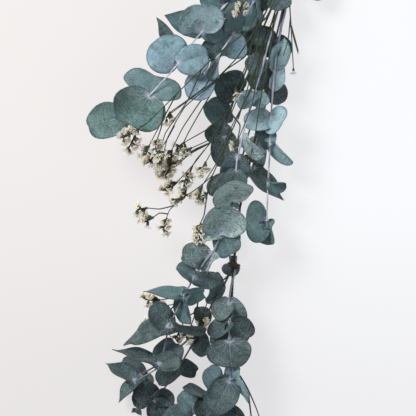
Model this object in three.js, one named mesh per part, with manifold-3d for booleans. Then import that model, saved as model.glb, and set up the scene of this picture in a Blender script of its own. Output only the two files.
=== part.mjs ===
// A silver dollar eucalyptus table runner, lying on a table: leafy sprigs and sprays of statice bound
// to a spine of twine, tips outwards from a wrap in the middle. Millimetres, +Z up, +Y along the runner,
// with the origin on the table under the middle wrap.
import * as THREE from "three";
import { mergeVertices } from "three/addons/utils/BufferGeometryUtils.js";
import Module from "manifold-3d";

const wasm = await Module();
wasm.setup();

// Driving sizes.
const clearance = 0.35; // air between two pieces
const tableGap = 0.05; // least height of a leaf over the table
const joinTolerance = 0.1; // small steps left by joining are smoothed away within this

// Stems of eucalyptus, wires of statice and the spine.
const stemRadius = 1.35;
const stemTaper = 0.42; // how much thinner a stem is at its tip
const wireRadius = 0.85;
const wireTaper = 0.25;
const stemSides = 3;
const spineRadius = 1.5;
const spineSides = 4;
const spineMargin = 3; // the spine stays straight this much past the stem ends in a ring

// Bindings.
const stemPitch = 3.1; // between stems held side by side
const rowPitch = stemPitch * Math.sin(Math.PI / 3);
const stemOverhang = 6; // of the cut stem ends
const heldPoints = 2; // of a stem's points, inside its ring
const wrapLength = 32;
const wrapRadius = 13.6;
const wrapHeight = 12.6; // of the wrap's axis, a little less than its radius, for a flat spot
const wrapTurns = 4;
const wrapSides = 16;
const tieLength = 8;
const tieRadius = 6.8;
const tieTurns = 1;
const tieSides = 8;
const ridgeDepth = 0.4;
const boreMargin = 0.01;

// Leaves. A side of the rim runs from the round tip to a corner beside the root, in parts of length and
// width. Nearly straight at the root, the leaf sits close on its stem.
const bladeThickness = 0.9;
const largeLeaf = 33; // a wider leaf gets more corners
const smallRim = [[0.97, 0.22], [0.58, 0.5], [0.04, 0.36]];
const largeRim = [[0.99, 0.14], [0.83, 0.38], [0.45, 0.5], [0.03, 0.32]];
const leafMiddle = [0.5, 0];
const rootGap = 0.3; // from the stem's axis to the point of the leaf's root
const bladeStart = 0.22; // the blade proper starts this part of its length from the stem
const nodeStep = 0.08; // a leaf is rooted this part of a stretch before its point
const cupMean = 0.07;
const cupSpread = 0.05;
const curlMean = -0.03;
const curlSpread = 0.07;

// Florets.
const floretLength = 8.5;
const floretRadius = 3;
const floretSides = 4;
const floretDepth = 0.3; // of the hollow mouth, in lengths
const floretInset = 0.08; // in lengths, how far the point goes past the stem's axis
const headStep = 0.06; // florets of a head sit this part of a stretch behind each other
const headFan = 150; // degrees
const headLifts = [15, -20, 45, 0];

// Bends tried in turn until a piece is clear: of a stem [sideways, height], of a leaf [lift, roll, size]
// and of a floret [heading, lift].
const stemBends = [0, 3, -3, 6, -6, 9, -9, 13].flatMap((side) =>
  [0, 2.5, -2.5, 5, -5, 8, -8, 12, -12, 17].map((height) => [side, height]),
);
const bladeTurns = [
  [0, 0], [7, 0], [-7, 0], [0, 12], [0, -12], [14, 0], [-14, 0], [9, 14], [-9, 14], [9, -14], [-9, -14],
  [22, 0], [-22, 0], [0, 26], [0, -26], [20, 20], [-20, 20], [20, -20], [-20, -20], [32, 0], [-32, 0],
  [0, 42], [0, -42], [34, 28], [34, -28], [-34, 28], [-34, -28], [48, 0], [-48, 0],
];
const bladeSizes = [1, 0.85, 0.7, 0.58];
const bladeBends = bladeSizes.flatMap((size) => bladeTurns.map(([lift, roll]) => [lift, roll, size]));
const floretBends = [
  [0, 0], [18, 0], [-18, 0], [0, 25], [0, -25], [30, 25], [-30, 25], [30, -25], [-30, -25],
];

// The plan is the runner seen from above: x to the right, y down, one unit a millimetre, heights over
// the table as a third value. The binding's place in the plan and the runner's slant in it turn it
// into the part's own frame.
const binding = { x: 292, y: -60 };
const slant = THREE.MathUtils.degToRad(8);
const UP = new THREE.Vector3(0, 0, 1);

function place([x, y, z]) {
  const point = new THREE.Vector3(x - binding.x, binding.y - y, z);
  return point.applyAxisAngle(UP, slant);
}

// Rings that hold the stems, the wrap in the middle and the ties further along the spine, with half
// their length and how far a stem stays straight past them.
const rings = {
  wrap: { at: [292, -60, wrapHeight], half: wrapLength / 2, straight: 10 },
  tie_near: { at: [251, 158, 24], half: tieLength / 2, straight: 2 },
  tie_mid: { at: [234, 266, 27], half: tieLength / 2, straight: 2 },
  tie_far: { at: [228, 366, 24], half: tieLength / 2, straight: 2 },
};
const spineRoute = [
  [292, -60, wrapHeight],
  [288, -12, 17],
  [279, 42, 22],
  [266, 92, 24],
  [251, 158, 24],
  [240, 208, 26],
  [234, 266, 27],
  [231, 318, 26],
  [228, 366, 24],
  [225, 412, 20],
  [223, 446, 15],
];

// Leaves: [stem point, heading in the plan, length, width, lift, roll], all angles in degrees.
// Heads of florets: [stem point, heading, florets]. A slot is a stem's place in its ring, in pitches:
// [sideways, row]. A side stem starts from a point of an earlier stem.
const sprays = [
  {
    name: "eucalyptus_upper_left",
    ring: "wrap",
    slot: [-1.5, 3],
    stems: [
      {
        path: [
          [268, -24, 38], [240, -8, 52], [222, 10, 60], [201, 35, 66], [190, 48, 68], [178, 66, 69],
          [148, 99, 70], [123, 119, 58],
        ],
        leaves: [
          [2, 20, 26, 24, 10, 30], [3, 101, 37, 45, 48, 0], [3, 155, 38, 26, 2, 8],
          [3, 15, 30, 30, -15, 58], [5, 138, 31, 44, 10, -8], [5, 15, 31, 31, 12, 10],
          [5, 111, 52, 18, -8, 30], [6, 237, 37, 54, 6, 5], [6, 72, 27, 60, -10, 0],
          [7, 194, 38, 36, 4, 8],
        ],
      },
    ],
  },
  {
    name: "eucalyptus_upper_mid",
    ring: "wrap",
    slot: [-2.5, 1],
    stems: [
      {
        path: [[276, -24, 30], [258, -4, 44], [240, 24, 50], [233, 35, 52], [217, 58, 54], [203, 77, 54]],
        leaves: [
          [3, 248, 29, 40, -40, 0], [3, 88, 28, 24, 20, 10], [4, 265, 28, 28, 10, 68],
          [4, 140, 20, 18, 10, 20], [5, 250, 28, 30, 12, 10],
        ],
      },
    ],
  },
  {
    name: "eucalyptus_deep_left",
    ring: "wrap",
    slot: [-2, -2],
    stems: [
      {
        path: [
          [282, -18, 14], [262, 30, 20], [246, 70, 22], [234, 100, 22], [225, 130, 20], [222, 160, 18],
        ],
        leaves: [
          [1.6, 100, 34, 26, 10, 10], [2.3, 202, 24, 24, -12, 0], [3, 122, 28, 30, 8, 12],
          [3.8, 132, 30, 28, 5, 15], [3.9, 232, 26, 26, -10, 0], [4.2, 272, 34, 28, -4, 10],
        ],
      },
    ],
  },
  {
    name: "eucalyptus_centre",
    ring: "wrap",
    slot: [-1, 0],
    stems: [
      {
        path: [
          [286, -20, 16], [276, 18, 34], [268, 45, 42], [261, 72, 46], [253, 97, 48], [244, 130, 50],
          [237, 160, 50], [235, 180, 50], [235, 203, 50],
        ],
        leaves: [
          [1.6, 205, 22, 20, 10, 10], [4, 318, 17, 18, 10, 0], [4, 225, 20, 20, 5, 15],
          [5.37, 314, 29, 24, 10, 62], [6, 262, 30, 30, -55, 0], [6.6, 262, 22, 24, 10, 0],
          [7, 200, 30, 24, 5, 20], [8, 112, 30, 42, 44, 0], [2.6, 214, 22, 22, -14, 0],
        ],
      },
    ],
  },
  {
    name: "eucalyptus_right",
    ring: "wrap",
    slot: [1.5, -1],
    stems: [
      {
        path: [
          [292, -16, 16], [286, 10, 26], [278, 44, 32], [273, 92, 36], [271, 120, 38], [270, 150, 38],
          [268, 187, 38], [267, 224, 37],
        ],
        leaves: [
          [1, 112, 24, 22, 5, 15], [2.6, 72, 33, 20, 10, 8], [3, 62, 22, 15, 5, 0],
          [4, 193, 28, 24, 12, 15], [4, 332, 20, 30, 42, 0], [4.7, 313, 33, 26, 5, 66],
          [6, 2, 18, 20, 10, 55], [4.9, 130, 20, 24, 2, 20], [7, 188, 23, 42, 12, 0],
          [7, 281, 25, 26, -8, 48],
        ],
      },
    ],
  },
  {
    name: "eucalyptus_deep_right",
    ring: "wrap",
    slot: [0.5, -1],
    stems: [
      {
        path: [
          [291, -16, 12], [284, 16, 14], [275, 60, 14], [270, 90, 14], [262, 120, 14], [258, 140, 14],
          [253, 169, 12],
        ],
        leaves: [
          [2.8, 302, 24, 24, 0, 12], [2.5, 202, 26, 24, -5, 0], [5, 268, 30, 26, 5, 45],
          [6, 309, 43, 26, -3, 46],
        ],
      },
    ],
  },
  {
    name: "eucalyptus_short_left",
    ring: "wrap",
    slot: [-2, 2],
    stems: [
      {
        path: [[274, -26, 34], [252, -8, 48], [232, 2, 55], [218, 8, 58]],
        leaves: [[2, 255, 28, 30, -42, 0], [2, 110, 30, 28, 10, 15], [3, 160, 34, 30, 10, 10]],
      },
    ],
  },
  {
    name: "eucalyptus_short_mid",
    ring: "wrap",
    slot: [-3, 0],
    stems: [
      {
        path: [[281, -24, 20], [270, -2, 30], [258, 20, 34]],
        leaves: [[1, 330, 24, 24, 0, 10], [1, 185, 26, 26, 0, 0], [2, 102, 26, 22, 15, 50]],
      },
    ],
  },
  {
    name: "eucalyptus_short_right",
    ring: "wrap",
    slot: [2.5, -1],
    stems: [
      {
        path: [[297, -26, 16], [303, -17, 24], [307, -8, 28]],
        leaves: [[1, 345, 25, 25, 0, 0], [1, 120, 26, 26, 10, 10], [2, 65, 26, 24, 8, 10]],
      },
    ],
  },
  {
    name: "eucalyptus_under",
    ring: "wrap",
    slot: [-1, -2],
    stems: [
      {
        path: [
          [288, -14, 4], [276, 40, 4], [262, 92, 4], [247, 140, 4], [236, 188, 4], [228, 232, 4],
          [231, 268, 4],
        ],
        leaves: [
          [1, 200, 30, 32, -4, 4], [1, 282, 26, 26, -4, -6], [4, 200, 28, 30, -4, 0],
          [5, 262, 26, 28, -4, 0], [6, 275, 13, 19, -3, 0],
        ],
      },
    ],
  },
  {
    name: "eucalyptus_lower_left",
    ring: "tie_near",
    slot: [-0.5, 1],
    stems: [
      {
        path: [
          [241, 182, 34], [228, 210, 50], [222, 231, 56], [214, 250, 58], [208, 257, 58], [193, 279, 60],
          [183, 297, 60], [169, 327, 58], [159, 366, 54], [133, 382, 46],
        ],
        leaves: [
          [2, 92, 36, 44, 40, 0], [2, 288, 28, 28, -10, 8], [2, 190, 22, 24, -20, 15],
          [4, 172, 27, 27, 8, 18], [3.4, 246, 25, 26, 5, 58], [5, 148, 21, 20, 5, 45],
          [5, 352, 28, 22, -5, 35], [5.9, 170, 38, 24, 5, 60], [6, 5, 21, 22, -5, 38],
          [6, 284, 28, 26, 5, 62], [7, 128, 28, 24, 8, 0], [7, 200, 47, 28, 6, 50],
          [7, 352, 36, 28, 5, 66], [8, 52, 28, 30, -12, 0], [8, 163, 45, 22, 5, 60],
          [8, 22, 23, 24, 4, 46], [9, 148, 33, 24, 5, 56],
        ],
      },
    ],
  },
  {
    name: "eucalyptus_lower_right",
    ring: "tie_mid",
    slot: [0.5, 1],
    stems: [
      {
        path: [
          [231, 288, 38], [229, 303, 42], [229, 322, 44], [229, 342, 46], [231, 365, 46], [230, 381, 46],
          [227, 410, 42],
        ],
        leaves: [
          [1, 225, 22, 24, -10, 20], [1, 290, 29, 27, -10, 0], [2, 318, 28, 28, -20, 0],
          [2, 218, 26, 22, -20, 20], [3, 276, 28, 45, 6, 0], [3, 165, 24, 20, -8, 35],
          [4.35, 293, 38, 28, 5, 70], [5, 243, 38, 32, 8, 5], [6, 268, 26, 26, 5, 10],
        ],
      },
    ],
  },
  {
    name: "eucalyptus_lower_deep",
    ring: "tie_mid",
    slot: [-1, 0],
    stems: [
      {
        path: [
          [224, 286, 20], [212, 305, 20], [203, 328, 19], [190, 350, 18], [178, 370, 17], [168, 385, 15],
          [154, 404, 13],
        ],
        leaves: [
          [1, 78, 30, 24, 5, 50], [2, 102, 20, 18, 0, 20], [3, 25, 21, 28, 0, 0], [4, 345, 19, 18, 0, 10],
          [4, 218, 28, 22, 3, 30], [6, 152, 24, 26, -4, 0], [6, 48, 22, 24, 5, 30],
          [6, 290, 28, 28, -8, 0],
        ],
      },
      {
        from: [0, 2],
        path: [[176, 352, 12], [156, 368, 10], [138, 380, 9], [136, 412, 8]],
        leaves: [
          [2.9, 147, 26, 22, 0, 0], [3, 232, 33, 21, 0, 42], [3.55, 65, 27, 27, 8, 0],
          [4, 60, 26, 28, 4, 0],
        ],
      },
    ],
  },
  {
    name: "eucalyptus_end_left",
    ring: "tie_far",
    slot: [-0.5, 1],
    stems: [
      {
        path: [[220, 388, 30], [208, 400, 32], [194, 414, 32], [182, 434, 28], [174, 454, 22]],
        leaves: [
          [0.2, 116, 26, 22, 5, 15], [1, 158, 28, 22, 5, 70], [1, 262, 24, 26, 5, 0],
          [2, 128, 25, 24, 5, 25], [3, 125, 28, 28, 0, 0], [3, 0, 24, 24, 0, 10], [4, 240, 28, 26, -5, 0],
        ],
      },
    ],
  },
  {
    name: "eucalyptus_end",
    ring: "tie_far",
    slot: [0.5, 1],
    stems: [
      {
        path: [[227, 390, 30], [227, 412, 30], [226, 438, 27], [224, 462, 22], [223, 482, 16]],
        leaves: [
          [1, 300, 28, 26, 5, 0], [1, 215, 26, 26, 0, 10], [2, 235, 28, 28, 5, 15],
          [2, 320, 30, 30, 0, -8], [3, 200, 28, 28, 0, 0], [3, 345, 26, 26, -5, 5],
          [4, 270, 32, 32, -5, 5],
        ],
      },
    ],
  },
  {
    name: "statice_upper_left",
    ring: "wrap",
    slot: [-0.5, 3],
    stems: [
      {
        path: [
          [284, -22, 44], [265, 20, 60], [240, 38, 66], [213, 60, 74], [185, 88, 80], [165, 108, 80],
          [147, 125, 76], [136, 132, 72],
        ],
        heads: [[7, 215, 4]],
      },
      { from: [0, 5], path: [[162, 128, 74], [157, 142, 70]], heads: [[2, 260, 3]] },
    ],
  },
  {
    name: "statice_upper_mid",
    ring: "wrap",
    slot: [-1, 2],
    stems: [
      {
        path: [
          [282, -22, 36], [262, 20, 50], [245, 57, 58], [227, 70, 60], [213, 84, 62], [185, 108, 62],
          [168, 138, 60], [163, 158, 58],
        ],
        heads: [[7, 265, 4]],
      },
      { from: [0, 0], path: [[262, -8, 52], [250, -2, 66], [243, 6, 74]], heads: [[3, 245, 3]] },
    ],
  },
  {
    name: "statice_mid_left",
    ring: "wrap",
    slot: [-1.5, 1],
    stems: [
      {
        path: [
          [284, -20, 24], [270, 28, 32], [256, 62, 36], [240, 90, 38], [228, 110, 40], [210, 143, 42],
          [196, 160, 43], [188, 174, 43],
        ],
        heads: [[7, 245, 3]],
      },
      { from: [0, 5], path: [[194, 150, 46], [178, 162, 47]], heads: [[2, 200, 3]] },
      { from: [0, 4], path: [[240, 125, 40], [237, 142, 40]], heads: [[2, 262, 1]] },
    ],
  },
  {
    name: "statice_centre",
    ring: "wrap",
    slot: [-0.5, 1],
    stems: [
      {
        path: [
          [288, -20, 20], [278, 10, 36], [264, 40, 46], [250, 90, 58], [240, 112, 60], [228, 140, 62],
          [217, 165, 63], [212, 176, 64], [198, 188, 65], [182, 199, 65], [170, 210, 64], [166, 220, 62],
        ],
        heads: [[9, 180, 2], [11, 260, 3]],
      },
      {
        from: [0, 7],
        path: [[207, 195, 60], [204, 215, 57], [199, 226, 54]],
        heads: [[1, 200, 2], [3, 265, 4]],
      },
    ],
  },
  {
    name: "statice_right",
    ring: "wrap",
    slot: [2, -0.12],
    stems: [
      {
        path: [[294, -22, 22], [290, 2, 38], [291, 26, 46], [292, 50, 52], [293, 70, 56]],
        heads: [[4, 270, 1]],
      },
      { from: [0, 2], path: [[298, 52, 53]] },
    ],
  },
  {
    name: "statice_lower",
    ring: "tie_mid",
    slot: [-0.42, 0.84],
    stems: [
      {
        path: [[218, 284, 40], [200, 290, 42], [188, 300, 42], [176, 304, 40], [166, 306, 38]],
        heads: [[4, 190, 4], [2, 250, 2]],
      },
      { from: [0, 1], path: [[196, 312, 40], [190, 328, 42]], heads: [[2, 255, 3]] },
    ],
  },
  {
    name: "statice_end",
    ring: "tie_far",
    slot: [0.9, 0],
    stems: [
      { path: [[240, 377, 30], [248, 390, 34], [256, 408, 38], [263, 428, 40]], heads: [[3, 290, 2]] },
      { from: [0, 1], path: [[252, 424, 40], [252, 442, 42]], heads: [[2, 275, 2]] },
    ],
  },
];

// The first half follows the plan. The second is the same turned round the binding, with seeded
// draws on its sizes and angles and without the smallest leaves.
const halves = [
  { suffix: "a", turn: 0, lengthSpread: 0, angleSpread: 0, leastWidth: 0 },
  { suffix: "b", turn: Math.PI, lengthSpread: 0.08, angleSpread: 9, leastWidth: 25.5 },
];
const seedStep = 97;
const firstSeed = 11;

// Seeded draws between -spread and spread, from the minimal standard generator.
function seeded(seed) {
  const multiplier = 16807;
  const modulus = 2147483647;
  let state = seed;
  return (spread) => {
    state = (state * multiplier) % modulus;
    return (state / modulus - 0.5) * 2 * spread;
  };
}

// A path of straight stretches through given points, with mitred corners.
class StemPath extends THREE.Curve {
  constructor(points) {
    super();
    this.points = points;
  }
  getPoint(t) {
    const last = this.points.length - 1;
    const i = Math.min(Math.floor(t * last + 1e-6), last - 1);
    return this.points[i].clone().lerp(this.points[i + 1], t * last - i);
  }
  getPointAt(t) {
    return this.getPoint(t);
  }
  getTangentAt(t) {
    const last = this.points.length - 1;
    const i = Math.round(t * last);
    const ahead = this.points[Math.min(i + 1, last)];
    return ahead.clone().sub(this.points[Math.max(i - 1, 0)]).normalize();
  }
}

function solidOf(geometry) {
  geometry.deleteAttribute("normal");
  geometry.deleteAttribute("uv");
  const merged = mergeVertices(geometry, 1e-4);
  return new wasm.Manifold(
    new wasm.Mesh({
      numProp: 3,
      vertProperties: merged.getAttribute("position").array,
      triVerts: new Uint32Array(merged.index.array),
    }),
  );
}

function polygon(sides, radius) {
  const corners = Array.from({ length: sides }, (_, i) => {
    const angle = (i * 2 * Math.PI) / sides;
    return new THREE.Vector2(radius * Math.cos(angle), radius * Math.sin(angle));
  });
  return new THREE.Shape(corners);
}

// A stem, a wire or the spine along its points, thinner towards its tip.
function tube(points, sides, radius, taper) {
  const steps = points.length - 1;
  const geometry = new THREE.ExtrudeGeometry(polygon(sides, radius), {
    steps,
    extrudePath: new StemPath(points),
  });
  const position = geometry.getAttribute("position");
  const vertex = new THREE.Vector3();
  for (let i = 0; i < position.count; i++) {
    vertex.fromBufferAttribute(position, i);
    const distances = points.map((p) => p.distanceTo(vertex));
    const nearest = distances.indexOf(Math.min(...distances));
    vertex.lerp(points[nearest], (taper * nearest) / steps);
    position.setXYZ(i, vertex.x, vertex.y, vertex.z);
  }
  return solidOf(geometry);
}

// The rim of a leaf, from its round tip down one side to its root and up the other side.
function rimOf({ width, length }) {
  const left = width > largeLeaf ? largeRim : smallRim;
  const right = left.map(([along, across]) => [along, -across]).reverse();
  return [...left, [rootGap / length, 0], ...right];
}

// The height of a leaf's surface: a shallow cup across it and a curl along it.
function leafHeight(leaf, x, y) {
  const across = (2 * y) / leaf.width;
  const along = x / leaf.length;
  return leaf.width * leaf.cup * across * across + leaf.length * leaf.curl * along * along;
}

// Axes of a leaf: along it, across it, and the way its face looks.
function leafAxes({ heading, lift, roll }) {
  const [turn, rise, tilt] = [heading, lift, roll].map(THREE.MathUtils.degToRad);
  const flat = new THREE.Vector3(Math.cos(turn), Math.sin(turn), 0);
  const along = flat.clone().multiplyScalar(Math.cos(rise)).addScaledVector(UP, Math.sin(rise));
  const level = flat.clone().multiplyScalar(-Math.sin(rise)).addScaledVector(UP, Math.cos(rise));
  const side = level.clone().cross(along);
  const across = side.clone().multiplyScalar(Math.cos(tilt)).addScaledVector(level, Math.sin(tilt));
  const face = level.multiplyScalar(Math.cos(tilt)).addScaledVector(side, -Math.sin(tilt));
  return { along, across, face };
}

// A leaf: a disc drawn to the leaf's outline, then cupped and curled alike on both faces. Its part
// nearer to the stem than a start is left out, so that a blade can be tested against its own sprig.
function leafSolid(leaf, start) {
  const rim = rimOf(leaf);
  const disc = new THREE.CylinderGeometry(1, 1, bladeThickness, rim.length, 1);
  const { along, across, face } = leafAxes(leaf);
  const position = disc.getAttribute("position");
  for (let i = 0; i < position.count; i++) {
    const x = position.getX(i);
    const z = position.getZ(i);
    const step = Math.round((Math.atan2(x, z) / (2 * Math.PI)) * rim.length);
    const isRim = Math.hypot(x, z) > 0.5;
    const [alongPart, acrossPart] = isRim ? rim[(step + rim.length) % rim.length] : leafMiddle;
    const alongBy = Math.max(alongPart * leaf.length, start);
    const acrossBy = acrossPart * leaf.width;
    const vertex = leaf.root.clone().addScaledVector(along, alongBy).addScaledVector(across, acrossBy);
    vertex.addScaledVector(face, leafHeight(leaf, alongBy, acrossBy) + position.getY(i));
    position.setXYZ(i, vertex.x, vertex.y, vertex.z);
  }
  return solidOf(disc);
}

// A floret: a papery funnel with a hollow mouth, its point in the stem.
function floretSolid(root, direction) {
  const funnel = new THREE.ConeGeometry(floretRadius, floretLength, floretSides, 1);
  funnel.rotateX(Math.PI).translate(0, floretLength * (0.5 - floretInset), 0);
  const position = funnel.getAttribute("position");
  for (let i = 0; i < position.count; i++) {
    const isMouth = Math.hypot(position.getX(i), position.getZ(i)) < 0.1 && position.getY(i) > 0;
    if (isMouth) position.setY(i, position.getY(i) - floretLength * floretDepth);
  }
  const turn = new THREE.Quaternion().setFromUnitVectors(new THREE.Vector3(0, 1, 0), direction);
  funnel.applyQuaternion(turn).translate(root.x, root.y, root.z);
  return solidOf(funnel);
}

// Where a stem passes a fractional point of its path.
function pointAt(points, at) {
  const i = Math.min(Math.floor(at), points.length - 2);
  return points[i].clone().lerp(points[i + 1], at - i);
}

// Everything placed so far, with the box of each solid, so that only near ones are measured.
const placed = [];

function boxOf(solid) {
  const { min, max } = solid.boundingBox();
  return new THREE.Box3(new THREE.Vector3(...min), new THREE.Vector3(...max));
}

function keep(owner, whole, blade = whole) {
  placed.push({ owner, whole, blade, box: boxOf(whole).expandByScalar(clearance) });
}

// A solid is clear if it stands over the table and keeps the clearance to all pieces of other owners,
// and if its blade, where it has one, keeps it to the blades and the stems of its own sprig too.
function isClear(owner, whole, blade = null) {
  const box = boxOf(whole);
  if (box.min.z < tableGap) return false;
  return placed.every((other) => {
    if (!other.box.intersectsBox(box)) return true;
    const [mine, theirs] = other.owner === owner ? [blade, other.blade] : [whole, other.whole];
    return !mine || mine.minGap(theirs, clearance) >= clearance - 1e-4;
  });
}

// A ring's centre, its direction outwards along the run, and its sideways and upward axes.
function ringFrame(name) {
  const { at } = rings[name];
  const centre = place(at);
  const out = new THREE.Vector3(0, -1, 0);
  const i = spineRoute.findIndex(([x, y]) => x === at[0] && y === at[1]);
  if (i > 0) out.copy(place(spineRoute[i + 1])).sub(place(spineRoute[i - 1])).normalize();
  const side = UP.clone().cross(out).normalize();
  return { centre, out, side, up: out.clone().cross(side) };
}

// A stem's straight stretch through its ring.
function heldStretch({ ring, slot: [column, row] }) {
  const { centre, out, side, up } = ringFrame(ring);
  const { half, straight } = rings[ring];
  const middle = centre.clone().addScaledVector(side, column * stemPitch);
  middle.addScaledVector(up, row * rowPitch);
  const cutEnd = middle.clone().addScaledVector(out, -half - stemOverhang);
  return [cutEnd, middle.addScaledVector(out, half + straight)];
}

// A stem's points in one half: its start in its ring, or on an earlier stem, then its free path, bent
// sideways and in height where it has to clear others. The first free point of a held stem bends half.
function stemPoints(spray, stem, earlier, half, [sideways, height]) {
  const bend = new THREE.Vector3(sideways, 0, height);
  const free = stem.path.map((point, i) => place(point).addScaledVector(bend, i || stem.from ? 1 : 0.5));
  free.forEach((point) => point.applyAxisAngle(UP, half.turn));
  if (stem.from) return [startOf(stem, earlier), ...free];
  return [...heldStretch(spray).map((point) => point.applyAxisAngle(UP, half.turn)), ...free];
}

// The points of a stem are counted from the first free one, or from the start on an earlier stem.
const firstPoint = (stem) => (stem.from ? 0 : heldPoints);

function startOf(stem, earlier) {
  const [index, point] = stem.from;
  const { stem: parent, points } = earlier[index];
  return points[point + firstPoint(parent)].clone();
}

const runner = new THREE.Group();
runner.name = "silver_dollar_eucalyptus_runner";

function addMesh(name, solid, look) {
  const { vertProperties, triVerts, numProp } = solid.getMesh();
  const count = vertProperties.length / numProp;
  const positions = new Float32Array(count * 3);
  for (let i = 0; i < count; i++) positions.set(vertProperties.subarray(i * numProp, i * numProp + 3), i * 3);
  const geometry = new THREE.BufferGeometry();
  geometry.setAttribute("position", new THREE.BufferAttribute(positions, 3));
  geometry.setIndex(new THREE.BufferAttribute(triVerts, 1));
  geometry.computeVertexNormals();
  const mesh = new THREE.Mesh(geometry, look);
  mesh.name = name;
  runner.add(mesh);
}

const material = (color, roughness) => new THREE.MeshStandardMaterial({ color, roughness, metalness: 0 });
const materials = {
  eucalyptus: material(0x8fa9ae, 0.62),
  statice: material(0xe8ddc4, 0.85),
  twine: material(0x4a4236, 0.95),
};

// The spine, from tip to tip, straight where it passes a ring.
function spineStretch(point) {
  const name = Object.keys(rings).find((ring) => rings[ring].at.every((value, i) => value === point[i]));
  if (!name) return [place(point)];
  const { centre, out } = ringFrame(name);
  const reach = rings[name].half + stemOverhang + spineMargin;
  const ahead = centre.clone().addScaledVector(out, reach);
  return name === "wrap" ? [centre, ahead] : [centre.clone().addScaledVector(out, -reach), ahead];
}
const halfSpine = spineRoute.flatMap(spineStretch);
const otherHalf = halfSpine.slice(1).map((point) => point.clone().applyAxisAngle(UP, Math.PI));
const spine = tube([...otherHalf.reverse(), ...halfSpine], spineSides, spineRadius, 0);
keep("spine", spine);
addMesh("spine_twine", spine, materials.twine);

// A binding: turns of twine side by side, as a ring with a ridged outside round a bore that lets
// stems pass within a reach of its axis.
function bandGeometry(radius, reach, length, turns, sides) {
  const bore = (reach + stemRadius + clearance) / Math.cos(Math.PI / sides) + boreMargin;
  const groove = radius - ridgeDepth;
  const profile = [[bore, -length / 2], [groove, -length / 2]];
  for (let i = 0; i < turns; i++) {
    const start = -length / 2 + (i * length) / turns;
    profile.push([radius, start + (0.5 * length) / turns], [groove, start + length / turns]);
  }
  profile.push([bore, length / 2], [bore, -length / 2]);
  return new THREE.LatheGeometry(profile.map(([r, h]) => new THREE.Vector2(r, h)), sides);
}

// The wrap lies on the table, its underside pressed flat.
const wrapBand = bandGeometry(wrapRadius, 3 * stemPitch, wrapLength, wrapTurns, wrapSides);
wrapBand.translate(0, 0, wrapHeight);
const wrapPosition = wrapBand.getAttribute("position");
for (let i = 0; i < wrapPosition.count; i++) wrapPosition.setZ(i, Math.max(wrapPosition.getZ(i), 0));
const wrap = solidOf(wrapBand);
keep("wrap", wrap);
addMesh("binding_wrap", wrap, materials.twine);

for (const { suffix, turn } of halves) {
  for (const name of Object.keys(rings).filter((ring) => ring !== "wrap")) {
    const { centre, out } = ringFrame(name);
    const band = bandGeometry(tieRadius, stemPitch, tieLength, tieTurns, tieSides);
    band.applyQuaternion(new THREE.Quaternion().setFromUnitVectors(new THREE.Vector3(0, 1, 0), out));
    band.translate(centre.x, centre.y, centre.z).rotateZ(turn);
    const tie = solidOf(band);
    keep(name + suffix, tie);
    addMesh(name + "_" + suffix, tie, materials.twine);
  }
}

// Each spray of each half grows its stems first, those held in the ties before those in the wrap,
// then its leaves and then its florets.
const plants = halves.flatMap((half) =>
  sprays.map((spray, index) => ({
    half,
    spray,
    kind: spray.name.split("_")[0],
    name: spray.name + "_" + half.suffix,
    draw: seeded(index * seedStep + firstSeed),
    grown: [],
    solids: [],
  })),
);

function growStem(plant, stem) {
  const [radius, taper] = plant.kind === "statice" ? [wireRadius, wireTaper] : [stemRadius, stemTaper];
  for (const bend of stemBends) {
    const points = stemPoints(plant.spray, stem, plant.grown, plant.half, bend);
    const solid = tube(points, stemSides, radius, taper);
    if (!isClear(plant.name, solid)) continue;
    plant.grown.push({ stem, points });
    plant.solids.push(solid);
    keep(plant.name, solid);
    return;
  }
}

function growLeaf(plant, { stem, points }, [at, heading, length, width, lift, roll]) {
  const { draw, half } = plant;
  const size = 1 + draw(half.lengthSpread);
  const turned = THREE.MathUtils.radToDeg(slant + half.turn) + draw(half.angleSpread);
  const rolled = draw(half.angleSpread);
  const cup = cupMean + draw(cupSpread);
  const curl = curlMean + draw(curlSpread);
  if (width < half.leastWidth) return;
  const root = pointAt(points, at - nodeStep + firstPoint(stem));
  for (const [liftBend, rollBend, sizeBend] of bladeBends) {
    const leaf = {
      root,
      heading: heading + turned,
      length: length * size * sizeBend,
      width: width * size * sizeBend,
      lift: lift + liftBend,
      roll: roll + rolled + rollBend,
      cup,
      curl,
    };
    const whole = leafSolid(leaf, -leaf.length);
    const blade = leafSolid(leaf, bladeStart * leaf.length);
    if (!isClear(plant.name, whole, blade)) continue;
    plant.solids.push(whole);
    keep(plant.name, whole, blade);
    return;
  }
}

function growFloret(plant, { stem, points }, [at, heading, count], k) {
  const root = pointAt(points, at - (k + 1) * headStep + firstPoint(stem));
  const fan = (k - (count - 1) / 2) * (headFan / count);
  const turned = heading + THREE.MathUtils.radToDeg(slant + plant.half.turn) + fan;
  for (const [turnBend, liftBend] of floretBends) {
    const { along } = leafAxes({ heading: turned + turnBend, lift: headLifts[k] + liftBend, roll: 0 });
    const solid = floretSolid(root, along);
    if (!isClear(plant.name, solid)) continue;
    plant.solids.push(solid);
    keep(plant.name, solid);
    return;
  }
}

const tiedFirst = [...plants].sort((a, b) => (a.spray.ring === "wrap") - (b.spray.ring === "wrap"));
for (const plant of tiedFirst) plant.spray.stems.forEach((stem) => growStem(plant, stem));
for (const plant of plants) {
  for (const grown of plant.grown) for (const leaf of grown.stem.leaves ?? []) growLeaf(plant, grown, leaf);
}
for (const plant of plants) {
  for (const grown of plant.grown) {
    for (const head of grown.stem.heads ?? [])
      for (let k = 0; k < head[2]; k++) growFloret(plant, grown, head, k);
  }
}
for (const { name, kind, solids } of plants) {
  addMesh(name, wasm.Manifold.union(solids).simplify(joinTolerance), materials[kind]);
}

export default runner;
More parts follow.
